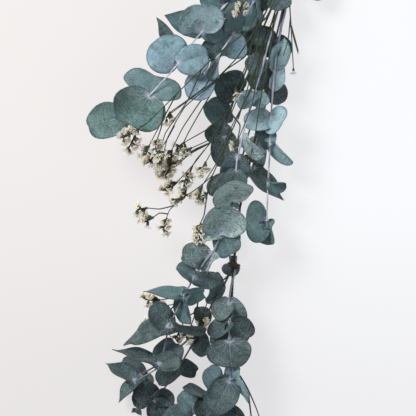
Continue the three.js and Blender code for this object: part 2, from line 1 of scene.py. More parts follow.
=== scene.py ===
"""A silver dollar eucalyptus table runner lying on a pale table, seen from above.

Sprigs of eucalyptus and sprays of statice, bound to a spine of twine. Each plant's solid in the
frame is found again from the runner's plan, and fine leaves, stems and florets take its place.
"""
import logging
import math
import random
from dataclasses import dataclass, field
from enum import Enum
from functools import partialmethod
from typing import Any, Iterable, Iterator, Sequence

import bmesh
import bpy
from mathutils import Matrix, Quaternion, Vector
from mathutils.kdtree import KDTree


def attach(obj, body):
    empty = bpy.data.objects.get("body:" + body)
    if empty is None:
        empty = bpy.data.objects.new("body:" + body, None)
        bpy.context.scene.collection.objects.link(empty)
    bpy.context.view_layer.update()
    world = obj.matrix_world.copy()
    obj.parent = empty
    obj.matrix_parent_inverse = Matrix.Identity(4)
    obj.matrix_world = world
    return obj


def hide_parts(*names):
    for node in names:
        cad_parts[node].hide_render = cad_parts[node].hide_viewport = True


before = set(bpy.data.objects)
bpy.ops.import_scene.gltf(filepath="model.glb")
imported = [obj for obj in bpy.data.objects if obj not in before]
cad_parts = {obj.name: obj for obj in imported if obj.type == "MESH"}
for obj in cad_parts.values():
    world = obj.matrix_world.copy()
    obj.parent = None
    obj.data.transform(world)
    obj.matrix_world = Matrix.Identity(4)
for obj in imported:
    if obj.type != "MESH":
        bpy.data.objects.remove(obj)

logging.basicConfig(level=logging.INFO, format="%(message)s")
log = logging.getLogger("runner")
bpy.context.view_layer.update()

MM = 0.001  # shapes are worked out in millimetres
MERGE = 1e-5  # corners of a shape nearer than this are one
UP = Vector((0, 0, 1))
ORIGIN = Vector((0, 0, 0))
BINDING_X, BINDING_Y = 292, -60  # the wrap's place in the plan
SLANT = 8.0  # degrees, the plan's slant in the runner's own frame

Point = tuple[float, ...]
Span = tuple[float, float]
Colour = tuple[float, float, float, float]
Material = bpy.types.Material
Mesh = bpy.types.Mesh
Dice = random.Random


# The plan: x to the right, y down, millimetres, with the height over the table as a third value.
class Bark(Enum):
    """The looks of the sprigs' stems, by the names of their materials."""

    PALE = "pale_bark"
    GREY = "grey_bark"
    DUSKY = "dusky_bark"


class Cluster(Enum):
    """How many florets a head on an extra wire has."""

    BARE = 0
    BUD = 3
    SMALL = 6
    FULL = 10


@dataclass(frozen=True)
class Ring:
    """A wrap or tie that holds stems, and how far they run on straight beyond it."""

    at: Point
    half: float
    straight: float


@dataclass(frozen=True)
class Stem:
    """A stem or wire: its free path, its leaves, its heads, and where it starts on an earlier one.

    A leaf is (point, heading, length, width, lift, roll), a head of florets (point, heading, count).
    """

    path: tuple[Point, ...]
    leaves: tuple[Point, ...] = ()
    heads: tuple[Point, ...] = ()
    start: tuple[int, int] | None = None


@dataclass(frozen=True)
class Wire:
    """A thin wire of the scene alone: the stem and point that it leaves, its path and its head."""

    stem: int
    at: float
    path: tuple[Point, ...]
    heading: float
    head: Cluster = Cluster.BARE


@dataclass(frozen=True)
class Spray:
    """A plant of the plan, with its ring and its slot there.

    A sprig's tones are the first letter of each leaf's tone, a small one where it lies over the stem.
    """

    name: str
    ring: str
    slot: Point
    stems: tuple[Stem, ...]
    tones: str = ""
    bark: Bark = Bark.DUSKY
    wires: tuple[Wire, ...] = ()


@dataclass(frozen=True)
class Half:
    """One half of the runner: its turn, the spread of its leaves, and the least width in its solids."""

    suffix: str
    turn: float
    length_spread: float
    angle_spread: float
    least_width: float


HALVES = (Half("a", 0.0, 0.0, 0.0, 0.0), Half("b", 180.0, 0.08, 9.0, 25.5))

WRAP_HEIGHT, WRAP_LENGTH, WRAP_RADIUS = 12.6, 32.0, 13.6
TIE_LENGTH, TIE_RADIUS = 8.0, 6.8
RINGS = {
    "wrap": Ring((292, -60, WRAP_HEIGHT), WRAP_LENGTH / 2, 10),
    "tie_near": Ring((251, 158, 24), TIE_LENGTH / 2, 2),
    "tie_mid": Ring((234, 266, 27), TIE_LENGTH / 2, 2),
    "tie_far": Ring((228, 366, 24), TIE_LENGTH / 2, 2),
}
SPINE_ROUTE = (
    (292, -60, WRAP_HEIGHT), (288, -12, 17), (279, 42, 22), (266, 92, 24), (251, 158, 24),
    (240, 208, 26), (234, 266, 27), (231, 318, 26), (228, 366, 24), (225, 412, 20), (223, 446, 15),
)
SPRAYS = (
    Spray("eucalyptus_upper_left", "wrap", (-1.5, 3), (Stem((
        (268, -24, 38), (240, -8, 52), (222, 10, 60), (201, 35, 66), (190, 48, 68), (178, 66, 69),
        (148, 99, 70), (123, 119, 58),
    ), (
        (2, 20, 26, 24, 10, 30), (3, 101, 37, 45, 48, 0), (3, 155, 38, 26, 2, 8), (3, 15, 30, 30, -15, 58),
        (5, 138, 31, 44, 10, -8), (5, 15, 31, 31, 12, 10), (5, 111, 52, 18, -8, 30), (6, 237, 37, 54, 6, 5),
        (6, 72, 27, 60, -10, 0), (7, 194, 38, 36, 4, 8),
    )),), "TITTHhSGFG", Bark.PALE),
    Spray("eucalyptus_upper_mid", "wrap", (-2.5, 1), (Stem((
        (276, -24, 30), (258, -4, 44), (240, 24, 50), (233, 35, 52), (217, 58, 54), (203, 77, 54),
    ), (
        (3, 248, 29, 40, -40, 0), (3, 88, 28, 24, 20, 10), (4, 265, 28, 28, 10, 68),
        (4, 140, 20, 18, 10, 20), (5, 250, 28, 30, 12, 10),
    )),), "HTHSL", Bark.PALE),
    Spray("eucalyptus_deep_left", "wrap", (-2, -2), (Stem((
        (282, -18, 14), (262, 30, 20), (246, 70, 22), (234, 100, 22), (225, 130, 20), (222, 160, 18),
    ), (
        (1.6, 100, 34, 26, 10, 10), (2.3, 202, 24, 24, -12, 0), (3, 122, 28, 30, 8, 12),
        (3.8, 132, 30, 28, 5, 15), (3.9, 232, 26, 26, -10, 0), (4.2, 272, 34, 28, -4, 10),
    )),), "DTSTDS"),
    Spray("eucalyptus_centre", "wrap", (-1, 0), (Stem((
        (286, -20, 16), (276, 18, 34), (268, 45, 42), (261, 72, 46), (253, 97, 48), (244, 130, 50),
        (237, 160, 50), (235, 180, 50), (235, 203, 50),
    ), (
        (1.6, 205, 22, 20, 10, 10), (4, 318, 17, 18, 10, 0), (4, 225, 20, 20, 5, 15),
        (5.37, 314, 29, 24, 10, 62), (6, 262, 30, 30, -55, 0), (6.6, 262, 22, 24, 10, 0),
        (7, 200, 30, 24, 5, 20), (8, 112, 30, 42, 44, 0), (2.6, 214, 22, 22, -14, 0),
    )),), "DAHMSSSbS", Bark.PALE),
    Spray("eucalyptus_right", "wrap", (1.5, -1), (Stem((
        (292, -16, 16), (286, 10, 26), (278, 44, 32), (273, 92, 36), (271, 120, 38), (270, 150, 38),
        (268, 187, 38), (267, 224, 37),
    ), (
        (1, 112, 24, 22, 5, 15), (2.6, 72, 33, 20, 10, 8), (3, 62, 22, 15, 5, 0), (4, 193, 28, 24, 12, 15),
        (4, 332, 20, 30, 42, 0), (4.7, 313, 33, 26, 5, 66), (6, 2, 18, 20, 10, 55),
        (4.9, 130, 20, 24, 2, 20), (7, 188, 23, 42, 12, 0), (7, 281, 25, 26, -8, 48),
    )),), "TAIIIATSFF", Bark.PALE),
    Spray("eucalyptus_deep_right", "wrap", (0.5, -1), (Stem((
        (291, -16, 12), (284, 16, 14), (275, 60, 14), (270, 90, 14), (262, 120, 14), (258, 140, 14),
        (253, 169, 12),
    ), (
        (2.8, 302, 24, 24, 0, 12), (2.5, 202, 26, 24, -5, 0), (5, 268, 30, 26, 5, 45),
        (6, 309, 43, 26, -3, 46),
    )),), "DDHP"),
    Spray("eucalyptus_short_left", "wrap", (-2, 2), (Stem((
        (274, -26, 34), (252, -8, 48), (232, 2, 55), (218, 8, 58),
    ), (
        (2, 255, 28, 30, -42, 0), (2, 110, 30, 28, 10, 15), (3, 160, 34, 30, 10, 10),
    )),), "AHT"),
    Spray("eucalyptus_short_mid", "wrap", (-3, 0), (Stem((
        (281, -24, 20), (270, -2, 30), (258, 20, 34),
    ), (
        (1, 330, 24, 24, 0, 10), (1, 185, 26, 26, 0, 0), (2, 102, 26, 22, 15, 50),
    )),), "DSH"),
    Spray("eucalyptus_short_right", "wrap", (2.5, -1), (Stem((
        (297, -26, 16), (303, -17, 24), (307, -8, 28),
    ), (
        (1, 345, 25, 25, 0, 0), (1, 120, 26, 26, 10, 10), (2, 65, 26, 24, 8, 10),
    )),), "TTG"),
    Spray("eucalyptus_under", "wrap", (-1, -2), (Stem((
        (288, -14, 4), (276, 40, 4), (262, 92, 4), (247, 140, 4), (236, 188, 4), (228, 232, 4),
        (231, 268, 4),
    ), (
        (1, 200, 30, 32, -4, 4), (1, 282, 26, 26, -4, -6), (4, 200, 28, 30, -4, 0), (5, 262, 26, 28, -4, 0),
        (6, 275, 13, 19, -3, 0),
    )),), "DTDDS"),
    Spray("eucalyptus_lower_left", "tie_near", (-0.5, 1), (Stem((
        (241, 182, 34), (228, 210, 50), (222, 231, 56), (214, 250, 58), (208, 257, 58), (193, 279, 60),
        (183, 297, 60), (169, 327, 58), (159, 366, 54), (133, 382, 46),
    ), (
        (2, 92, 36, 44, 40, 0), (2, 288, 28, 28, -10, 8), (2, 190, 22, 24, -20, 15),
        (4, 172, 27, 27, 8, 18), (3.4, 246, 25, 26, 5, 58), (5, 148, 21, 20, 5, 45),
        (5, 352, 28, 22, -5, 35), (5.9, 170, 38, 24, 5, 60), (6, 5, 21, 22, -5, 38),
        (6, 284, 28, 26, 5, 62), (7, 128, 28, 24, 8, 0), (7, 200, 47, 28, 6, 50), (7, 352, 36, 28, 5, 66),
        (8, 52, 28, 30, -12, 0), (8, 163, 45, 22, 5, 60), (8, 22, 23, 24, 4, 46), (9, 148, 33, 24, 5, 56),
    )),), "mFMPMTDTtTSSDDSPS", Bark.GREY),
    Spray("eucalyptus_lower_right", "tie_mid", (0.5, 1), (Stem((
        (231, 288, 38), (229, 303, 42), (229, 322, 44), (229, 342, 46), (231, 365, 46), (230, 381, 46),
        (227, 410, 42),
    ), (
        (1, 225, 22, 24, -10, 20), (1, 290, 29, 27, -10, 0), (2, 318, 28, 28, -20, 0),
        (2, 218, 26, 22, -20, 20), (3, 276, 28, 45, 6, 0), (3, 165, 24, 20, -8, 35),
        (4.35, 293, 38, 28, 5, 70), (5, 243, 38, 32, 8, 5), (6, 268, 26, 26, 5, 10),
    )),), "PPDDDDASS", Bark.GREY),
    Spray("eucalyptus_lower_deep", "tie_mid", (-1, 0), (
        Stem((
            (224, 286, 20), (212, 305, 20), (203, 328, 19), (190, 350, 18), (178, 370, 17), (168, 385, 15),
            (154, 404, 13),
        ), (
            (1, 78, 30, 24, 5, 50), (2, 102, 20, 18, 0, 20), (3, 25, 21, 28, 0, 0), (4, 345, 19, 18, 0, 10),
            (4, 218, 28, 22, 3, 30), (6, 152, 24, 26, -4, 0), (6, 48, 22, 24, 5, 30),
            (6, 290, 28, 28, -8, 0),
        )),
        Stem((
            (176, 352, 12), (156, 368, 10), (138, 380, 9), (136, 412, 8),
        ), (
            (2.9, 147, 26, 22, 0, 0), (3, 232, 33, 21, 0, 42), (3.55, 65, 27, 27, 8, 0),
            (4, 60, 26, 28, 4, 0),
        ), start=(0, 2)),
    ), "TDSDSDDDDTSS"),
    Spray("eucalyptus_end_left", "tie_far", (-0.5, 1), (Stem((
        (220, 388, 30), (208, 400, 32), (194, 414, 32), (182, 434, 28), (174, 454, 22),
    ), (
        (0.2, 116, 26, 22, 5, 15), (1, 158, 28, 22, 5, 70), (1, 262, 24, 26, 5, 0), (2, 128, 25, 24, 5, 25),
        (3, 125, 28, 28, 0, 0), (3, 0, 24, 24, 0, 10), (4, 240, 28, 26, -5, 0),
    )),), "HDDHSSD"),
    Spray("eucalyptus_end", "tie_far", (0.5, 1), (Stem((
        (227, 390, 30), (227, 412, 30), (226, 438, 27), (224, 462, 22), (223, 482, 16),
    ), (
        (1, 300, 28, 26, 5, 0), (1, 215, 26, 26, 0, 10), (2, 235, 28, 28, 5, 15), (2, 320, 30, 30, 0, -8),
        (3, 200, 28, 28, 0, 0), (3, 345, 26, 26, -5, 5), (4, 270, 32, 32, -5, 5),
    )),), "SDSDSSD"),
    Spray("statice_upper_left", "wrap", (-0.5, 3), (
        Stem((
            (284, -22, 44), (265, 20, 60), (240, 38, 66), (213, 60, 74), (185, 88, 80), (165, 108, 80),
            (147, 125, 76), (136, 132, 72),
        ), heads=((7, 215, 4),)),
        Stem(((162, 128, 74), (157, 142, 70)), heads=((2, 260, 3),), start=(0, 5)),
    ), wires=(
        Wire(0, 2.6, ((205, 88, 72), (171, 113, 68)), 235, Cluster.BUD),
        Wire(0, 3.4, ((188, 102, 74), (166, 134, 72), (161, 151, 70)), 262, Cluster.FULL),
        Wire(0, 4.4, ((166, 116, 76), (150, 146, 70)), 250, Cluster.SMALL),
        Wire(0, 6.4, ((142, 127, 72), (136, 136, 68)), 250, Cluster.FULL),
        Wire(0, 1.2, ((236, 60, 66), (213, 83, 66), (170, 115, 62)), 215),
    )),
    Spray("statice_upper_mid", "wrap", (-1, 2), (
        Stem((
            (282, -22, 36), (262, 20, 50), (245, 57, 58), (227, 70, 60), (213, 84, 62), (185, 108, 62),
            (168, 138, 60), (163, 158, 58),
        ), heads=((7, 265, 4),)),
        Stem(((262, -8, 52), (250, -2, 66), (243, 6, 74)), heads=((3, 245, 3),), start=(0, 0)),
    ), wires=(
        Wire(0, 3.6, ((202, 100, 60), (183, 128, 57), (172, 150, 56)), 265, Cluster.FULL),
        Wire(0, 3.2, ((204, 106, 58), (188, 134, 56), (174, 163, 56)), 235, Cluster.FULL),
        Wire(0, 5.6, ((166, 142, 60), (156, 155, 58)), 235, Cluster.SMALL),
        Wire(0, 1.0, ((254, 60, 62), (240, 92, 62), (226, 126, 60), (206, 162, 56)), 240, Cluster.SMALL),
        Wire(0, 1.6, ((246, 66, 66), (236, 88, 64)), 250, Cluster.BUD),
    )),
    Spray("statice_mid_left", "wrap", (-1.5, 1), (
        Stem((
            (284, -20, 24), (270, 28, 32), (256, 62, 36), (240, 90, 38), (228, 110, 40), (210, 143, 42),
            (196, 160, 43), (188, 174, 43),
        ), heads=((7, 245, 3),)),
        Stem(((194, 150, 46), (178, 162, 47)), heads=((2, 200, 3),), start=(0, 5)),
        Stem(((240, 125, 40), (237, 142, 40)), heads=((2, 262, 1),), start=(0, 4)),
    ), wires=(
        Wire(0, 4.2, ((206, 130, 44), (185, 142, 46)), 215, Cluster.SMALL),
        Wire(0, 5.0, ((190, 154, 46), (174, 168, 47)), 205, Cluster.FULL),
        Wire(0, 5.4, ((192, 166, 42), (177, 182, 42)), 225, Cluster.FULL),
        Wire(0, 6.4, ((189, 176, 42), (186, 188, 42)), 265, Cluster.SMALL),
        Wire(0, 3.8, ((212, 138, 50), (192, 148, 50)), 200, Cluster.BUD),
    )),
    Spray("statice_centre", "wrap", (-0.5, 1), (
        Stem((
            (288, -20, 20), (278, 10, 36), (264, 40, 46), (250, 90, 58), (240, 112, 60), (228, 140, 62),
            (217, 165, 63), (212, 176, 64), (198, 188, 65), (182, 199, 65), (170, 210, 64), (166, 220, 62),
        ), heads=((9, 180, 2), (11, 260, 3))),
        Stem((
            (207, 195, 60), (204, 215, 57), (199, 226, 54),
        ), heads=((1, 200, 2), (3, 265, 4)), start=(0, 7)),
    ), wires=(
        Wire(0, 4.6, ((216, 164, 58), (202, 186, 58)), 262, Cluster.SMALL),
        Wire(0, 9.6, ((160, 209, 64), (148, 208, 63)), 190, Cluster.SMALL),
        Wire(0, 10.4, ((160, 213, 62), (154, 217, 61)), 215, Cluster.SMALL),
        Wire(0, 1.0, ((262, 56, 58), (250, 80, 62), (243, 104, 62), (238, 120, 60)), 250),
        Wire(0, 1.2, ((268, 62, 56), (262, 90, 58), (256, 128, 56), (250, 160, 54)), 262),
        Wire(0, 2.2, ((252, 104, 62), (243, 128, 66), (238, 140, 68)), 262, Cluster.BUD),
        Wire(0, 2.0, ((256, 80, 64), (234, 122, 66), (220, 152, 64)), 250),
    )),
    Spray("statice_right", "wrap", (2, -0.12), (
        Stem((
            (294, -22, 22), (290, 2, 38), (291, 26, 46), (292, 50, 52), (293, 70, 56),
        ), heads=((4, 270, 1),)),
        Stem(((298, 52, 53),), start=(0, 2)),
    ), wires=(
        Wire(0, 2.0, ((294, 40, 50), (298, 54, 50)), 300),
        Wire(0, 1.6, ((288, 40, 48), (283, 56, 48)), 250),
    )),
    Spray("statice_lower", "tie_mid", (-0.42, 0.84), (
        Stem((
            (218, 284, 40), (200, 290, 42), (188, 300, 42), (176, 304, 40), (166, 306, 38),
        ), heads=((4, 190, 4), (2, 250, 2))),
        Stem(((196, 312, 40), (190, 328, 42)), heads=((2, 255, 3),), start=(0, 1)),
    ), wires=(
        Wire(0, 2.2, ((176, 298, 44), (160, 300, 42)), 185, Cluster.FULL),
        Wire(0, 3.0, ((166, 314, 40), (154, 321, 38)), 215, Cluster.SMALL),
        Wire(1, 1.0, ((186, 318, 40), (180, 330, 40)), 250, Cluster.SMALL),
        Wire(0, 1.0, ((207, 302, 38), (203, 314, 38)), 262, Cluster.SMALL),
    )),
    Spray("statice_end", "tie_far", (0.9, 0), (
        Stem(((240, 377, 30), (248, 390, 34), (256, 408, 38), (263, 428, 40)), heads=((3, 290, 2),)),
        Stem(((252, 424, 40), (252, 442, 42)), heads=((2, 275, 2),), start=(0, 1)),
    )),
)

# Sizes and laws of the plant solids, the same as in the part.
STEM_PITCH = 3.1
ROW_PITCH = STEM_PITCH * math.sin(math.pi / 3)
STEM_OVERHANG = 6.0
SPINE_MARGIN = 3.0
HELD_POINTS = 2
STEM_RADIUS, STEM_TAPER = 1.35, 0.42
WIRE_RADIUS, WIRE_TAPER = 0.85, 0.25
BLADE_THICKNESS = 0.9
NODE_STEP = 0.08
HEAD_STEP, HEAD_FAN = 0.06, 150.0
HEAD_LIFTS = (15, -20, 45, 0)
FLORET_LENGTH, FLORET_MOUTH = 8.5, 0.62
CUP, CURL = (0.07, 0.05), (-0.03, 0.07)
SEED_STEP, FIRST_SEED = 97, 11
SEED_FACTOR, SEED_MODULUS = 16807, 2147483647
LARGE_LEAF = 33
SMALL_RIM = ((0.97, 0.22), (0.58, 0.5))
LARGE_RIM = ((0.99, 0.14), (0.83, 0.38), (0.45, 0.5))
SIDE_BENDS = (0, 3, -3, 6, -6, 9, -9, 13)
HEIGHT_BENDS = (0, 2.5, -2.5, 5, -5, 8, -8, 12, -12, 17)
BLADE_TURNS = (
    (0, 0), (7, 0), (-7, 0), (0, 12), (0, -12), (14, 0), (-14, 0), (9, 14), (-9, 14), (9, -14),
    (-9, -14), (22, 0), (-22, 0), (0, 26), (0, -26), (20, 20), (-20, 20), (20, -20), (-20, -20),
    (32, 0), (-32, 0), (0, 42), (0, -42), (34, 28), (34, -28), (-34, 28), (-34, -28), (48, 0), (-48, 0),
)
BLADE_SIZES = (1, 0.85, 0.7, 0.58)
FLORET_BENDS = (
    (0, 0), (18, 0), (-18, 0), (0, 25), (0, -25), (30, 25), (-30, 25), (30, -25), (-30, -25),
)


def place(point: Sequence[float]) -> Vector:
    """Turns a point of the plan into the runner's frame, in millimetres."""
    x, y, z = point
    return Matrix.Rotation(math.radians(SLANT), 3, "Z") @ Vector((x - BINDING_X, BINDING_Y - y, z))


def turned(points: Iterable[Vector], degrees: float) -> list[Vector]:
    """Turns points about the vertical through the wrap."""
    spin = Matrix.Rotation(math.radians(degrees), 3, "Z")
    return [spin @ point for point in points]


def stretch(count: int, at: float) -> tuple[int, float]:
    """The stretch of a path with a count of points that a fractional point number is on, and how far."""
    i = max(0, min(int(at), count - 2))
    return i, at - i


def point_at(points: Sequence[Vector], at: float) -> Vector:
    """The place that a fractional point number has on a path of straight stretches."""
    i, t = stretch(len(points), at)
    return points[i].lerp(points[i + 1], t)


def between(start: Vector, ahead: Vector, end: Vector, after: Vector, t: float) -> Vector:
    """The point at t of a smooth curve between two points that have tangents, 0 to 1."""
    share = t * t * (3 - 2 * t)
    return start * (1 - share) + ahead * (t * (1 - t) ** 2) + end * share - after * (t * t * (1 - t))


def smooth_path(points: Sequence[Vector], step: float) -> list[Vector]:
    """A smooth line through all points of a path.

    Args:
        points: The path's points.
        step: The distance between the points of the smooth line.

    Returns:
        The smooth line's points, from the path's first to its last.
    """
    line, last = [], len(points) - 1
    for i in range(last):
        before, start, end, beyond = (points[min(max(i + k, 0), last)] for k in (-1, 0, 1, 2))
        half = (end - start).length / 2
        ahead = (end - before).normalized() * half
        after = (beyond - start).normalized() * half
        count = max(1, round(2 * half / step))
        line += [between(start, ahead, end, after, k / count) for k in range(count)]
    return [*line, points[-1].copy()]


def smooth_step(low: float, high: float, value: float) -> float:
    """A soft step from 0 at low to 1 at high."""
    share = min(1.0, max(0.0, (value - low) / (high - low)))
    return share * share * (3 - 2 * share)


def leaf_axes(heading: float, lift: float, roll: float) -> tuple[Vector, Vector, Vector]:
    """A blade's axes.

    Args:
        heading: The way that the blade points, in degrees from +X.
        lift: How far its tip is raised, in degrees.
        roll: How far it is turned about its own length, in degrees.

    Returns:
        Along the blade, across it, and the way that its face looks.
    """
    turn, rise, tilt = (math.radians(angle) for angle in (heading, lift, roll))
    flat = Vector((math.cos(turn), math.sin(turn), 0))
    along = flat * math.cos(rise) + UP * math.sin(rise)
    level = UP * math.cos(rise) - flat * math.sin(rise)
    side = level.cross(along)
    across = side * math.cos(tilt) + level * math.sin(tilt)
    face = level * math.cos(tilt) - side * math.sin(tilt)
    return along, across, face


def ring_frame(name: str) -> tuple[Vector, Vector, Vector, Vector]:
    """The place and the axes of a ring in half a.

    Args:
        name: The ring's name.

    Returns:
        Its centre, its way outwards along the runner, and its sideways and upward axes.
    """
    at = RINGS[name].at
    i = SPINE_ROUTE.index(at)
    out = -Vector((0, 1, 0))
    if i:
        out = (place(SPINE_ROUTE[i + 1]) - place(SPINE_ROUTE[i - 1])).normalized()
    side = UP.cross(out).normalized()
    return place(at), out, side, out.cross(side)


def draws(seed: int) -> Iterator[float]:
    """The seeded draws that vary the leaves of a plant.

    Args:
        seed: The plant's seed.

    Returns:
        Numbers between -1 and 1, without an end.
    """
    state = seed
    while True:
        state = state * SEED_FACTOR % SEED_MODULUS
        yield (state / SEED_MODULUS - 0.5) * 2


class Corners:
    """The corners of a solid of the frame, to test guesses of its pieces against."""

    TOLERANCE = 0.22
    MISSED_SHARE = 0.2
    RING_SEARCH, RING_TOLERANCE, RING_CORNERS = 0.4, 0.15, 3

    def __init__(self, node: str) -> None:
        """Reads the corners of a solid, in millimetres.

        Args:
            node: The name of its node.
        """
        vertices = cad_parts[node].data.vertices
        self.tree = KDTree(len(vertices))
        for i, vertex in enumerate(vertices):
            self.tree.insert(vertex.co / MM, i)
        self.tree.balance()

    def has(self, points: Sequence[Vector]) -> bool:
        """Whether the solid has a corner at nearly every one of the points."""
        misses = sum(self.tree.find(point)[2] > self.TOLERANCE for point in points)
        return misses <= len(points) * self.MISSED_SHARE

    def ring_hits(self, centre: Vector, tangent: Vector, radius: float) -> int:
        """Counts the corners on the circle of a stem's section.

        Args:
            centre: The section's centre.
            tangent: The stem's way there.
            radius: Its radius.

        Returns:
            The number of corners, three at the most.
        """
        hits = 0
        for corner, _, _ in self.tree.find_range(centre, radius + self.RING_SEARCH):
            ahead = (corner - centre).dot(tangent)
            across = (corner - centre - tangent * ahead).length
            hits += abs(ahead) < self.RING_TOLERANCE and abs(across - radius) < self.RING_TOLERANCE
        return min(hits, self.RING_CORNERS)


@dataclass
class Leaf:
    """A leaf as it grows on its stem, with its number in its spray's rows."""

    root: Vector
    heading: float
    length: float
    width: float
    lift: float
    roll: float
    cup: float
    curl: float
    row: int

    def axes(self) -> tuple[Vector, Vector, Vector]:
        """Along the leaf, across it, and the way that its face looks."""
        return leaf_axes(self.heading, self.lift, self.roll)

    def height(self, x: float, y: float) -> float:
        """The height of the blade's surface at a point of it, from its cup and its curl."""
        across, along = 2 * y / self.width, x / self.length
        return self.width * self.cup * across**2 + self.length * self.curl * along**2

    def rim_corners(self) -> list[Vector]:
        """The corners of the leaf's plain solid.

        Returns:
            Those away from its stem, on both faces.
        """
        rim = LARGE_RIM if self.width > LARGE_LEAF else SMALL_RIM
        along, across, face = self.axes()
        spots = [(a * self.length, b * self.width * sign) for a, b in rim for sign in (-1, 1)]
        return [
            self.root + along * x + across * y + face * (self.height(x, y) + side)
            for x, y in spots
            for side in (-BLADE_THICKNESS / 2, BLADE_THICKNESS / 2)
        ]


@dataclass
class Floret:
    """A floret: where it grows from and where it points."""

    root: Vector
    direction: Vector


@dataclass
class Grown:
    """A stem as it grew: its plan, its points and how far it was bent off the plan."""

    stem: Stem
    points: list[Vector]
    bend: Vector
    leaves: list[Leaf] = field(default_factory=list)
    florets: list[Floret] = field(default_factory=list)

    def first(self) -> int:
        """The number of held points that come before the plan's own."""
        return 0 if self.stem.start else HELD_POINTS

    def at(self, number: float) -> Vector:
        """The place of a fractional point number of the plan."""
        return point_at(self.points, number + self.first())


class Plant:
    """A plant of one half, grown again from the plan so that it fits its solid in the frame."""

    LEAST_HITS = 3

    def __init__(self, spray: Spray, order: int, half: Half) -> None:
        """Finds the stems, the leaves and the florets of a plant.

        Args:
            spray: The plant in the plan.
            order: Its place in the plan, which seeds its draws.
            half: The half that it grows in.
        """
        self.spray, self.half = spray, half
        self.name = f"{spray.name}_{half.suffix}"
        self.turn = SLANT + half.turn
        self.woody = spray.name.startswith("eucalyptus")
        self.draw = draws(order * SEED_STEP + FIRST_SEED)
        self.corners = Corners(self.name)
        self.grown: list[Grown] = []
        for stem in spray.stems:
            self._grow_stem(stem)
        rows = 0
        for grown in self.grown:
            for row in grown.stem.leaves:
                self._grow_leaf(grown, row, rows)
                rows += 1
            for row in grown.stem.heads:
                self._grow_head(grown, row)

    def free(self, path: Sequence[Point], bends: Sequence[Vector]) -> list[Vector]:
        """The points of a path of the plan in the plant's half, each moved by its bend first."""
        return turned([place(point) + bend for point, bend in zip(path, bends)], self.half.turn)

    def _held(self) -> list[Vector]:
        """The straight stretch of the plant's main stem through its ring.

        Returns:
            The stretch's two ends.
        """
        centre, out, side, up = ring_frame(self.spray.ring)
        column, row = self.spray.slot
        ring = RINGS[self.spray.ring]
        middle = centre + side * column * STEM_PITCH + up * row * ROW_PITCH
        ends = middle - out * (ring.half + STEM_OVERHANG), middle + out * (ring.half + ring.straight)
        return turned(ends, self.half.turn)

    def _points(self, stem: Stem, bend: Vector) -> list[Vector]:
        """A stem's points with a bend, the first free point of a held stem bent half.

        Args:
            stem: The stem in the plan.
            bend: How far it is moved off the plan.

        Returns:
            Its points, with the held ones or the start on an earlier stem first.
        """
        if not stem.start:
            return [*self._held(), *self.free(stem.path, [bend / 2, *[bend] * len(stem.path)])]
        number, point = stem.start
        return [self.grown[number].at(point), *self.free(stem.path, [bend] * len(stem.path))]

    def _grow_stem(self, stem: Stem) -> None:
        """Finds the bend of a stem, by the corners that its sections would have.

        Args:
            stem: The stem in the plan.
        """
        radius, taper = (STEM_RADIUS, STEM_TAPER) if self.woody else (WIRE_RADIUS, WIRE_TAPER)
        best, best_hits = None, self.LEAST_HITS - 1
        for bend in (Vector((side, 0, height)) for side in SIDE_BENDS for height in HEIGHT_BENDS):
            points = self._points(stem, bend)
            last, hits = len(points) - 1, 0
            for i in range(1 if stem.start else HELD_POINTS, last + 1):
                tangent = (points[min(i + 1, last)] - points[i - 1]).normalized()
                hits += self.corners.ring_hits(points[i], tangent, radius * (1 - taper * i / last))
            if hits > best_hits:
                best, best_hits = Grown(stem, points, bend), hits
        if best:
            self.grown.append(best)
        else:
            log.info("%s: a stem has no solid", self.name)

    def _grow_leaf(self, grown: Grown, row: Point, number: int) -> None:
        """Finds a leaf by its rim, or adds it as it stands where the half's solids leave it out.

        Args:
            grown: The stem that it grows on.
            row: Its row in the plan.
            number: The row's number in its spray.
        """
        at, heading, length, width, lift, roll = row
        spread = self.half.angle_spread
        size = 1 + next(self.draw) * self.half.length_spread
        heading += self.turn + next(self.draw) * spread
        roll += next(self.draw) * spread
        cup, curl = (middle + next(self.draw) * reach for middle, reach in (CUP, CURL))
        root = grown.at(at - NODE_STEP)
        for factor in BLADE_SIZES:
            for lift_bend, roll_bend in BLADE_TURNS:
                leaf = Leaf(root, heading, length * size * factor, width * size * factor,
                            lift + lift_bend, roll + roll_bend, cup, curl, number)
                if width < self.half.least_width or self.corners.has(leaf.rim_corners()):
                    grown.leaves.append(leaf)
                    return
        log.info("%s: no solid for leaf %s", self.name, row)

    def _grow_head(self, grown: Grown, row: Point) -> None:
        """Finds the florets of a head by the bottoms of their mouths.

        Args:
            grown: The stem that it grows on.
            row: Its row in the plan.
        """
        at, heading, count = row
        for k in range(int(count)):
            root = grown.at(at - (k + 1) * HEAD_STEP)
            middle = heading + self.turn + (k - (count - 1) / 2) * HEAD_FAN / count
            for turn, lift in FLORET_BENDS:
                along, _, _ = leaf_axes(middle + turn, HEAD_LIFTS[k] + lift, 0)
                if self.corners.has([root + along * FLORET_LENGTH * FLORET_MOUTH]):
                    grown.florets.append(Floret(root, along))
                    break


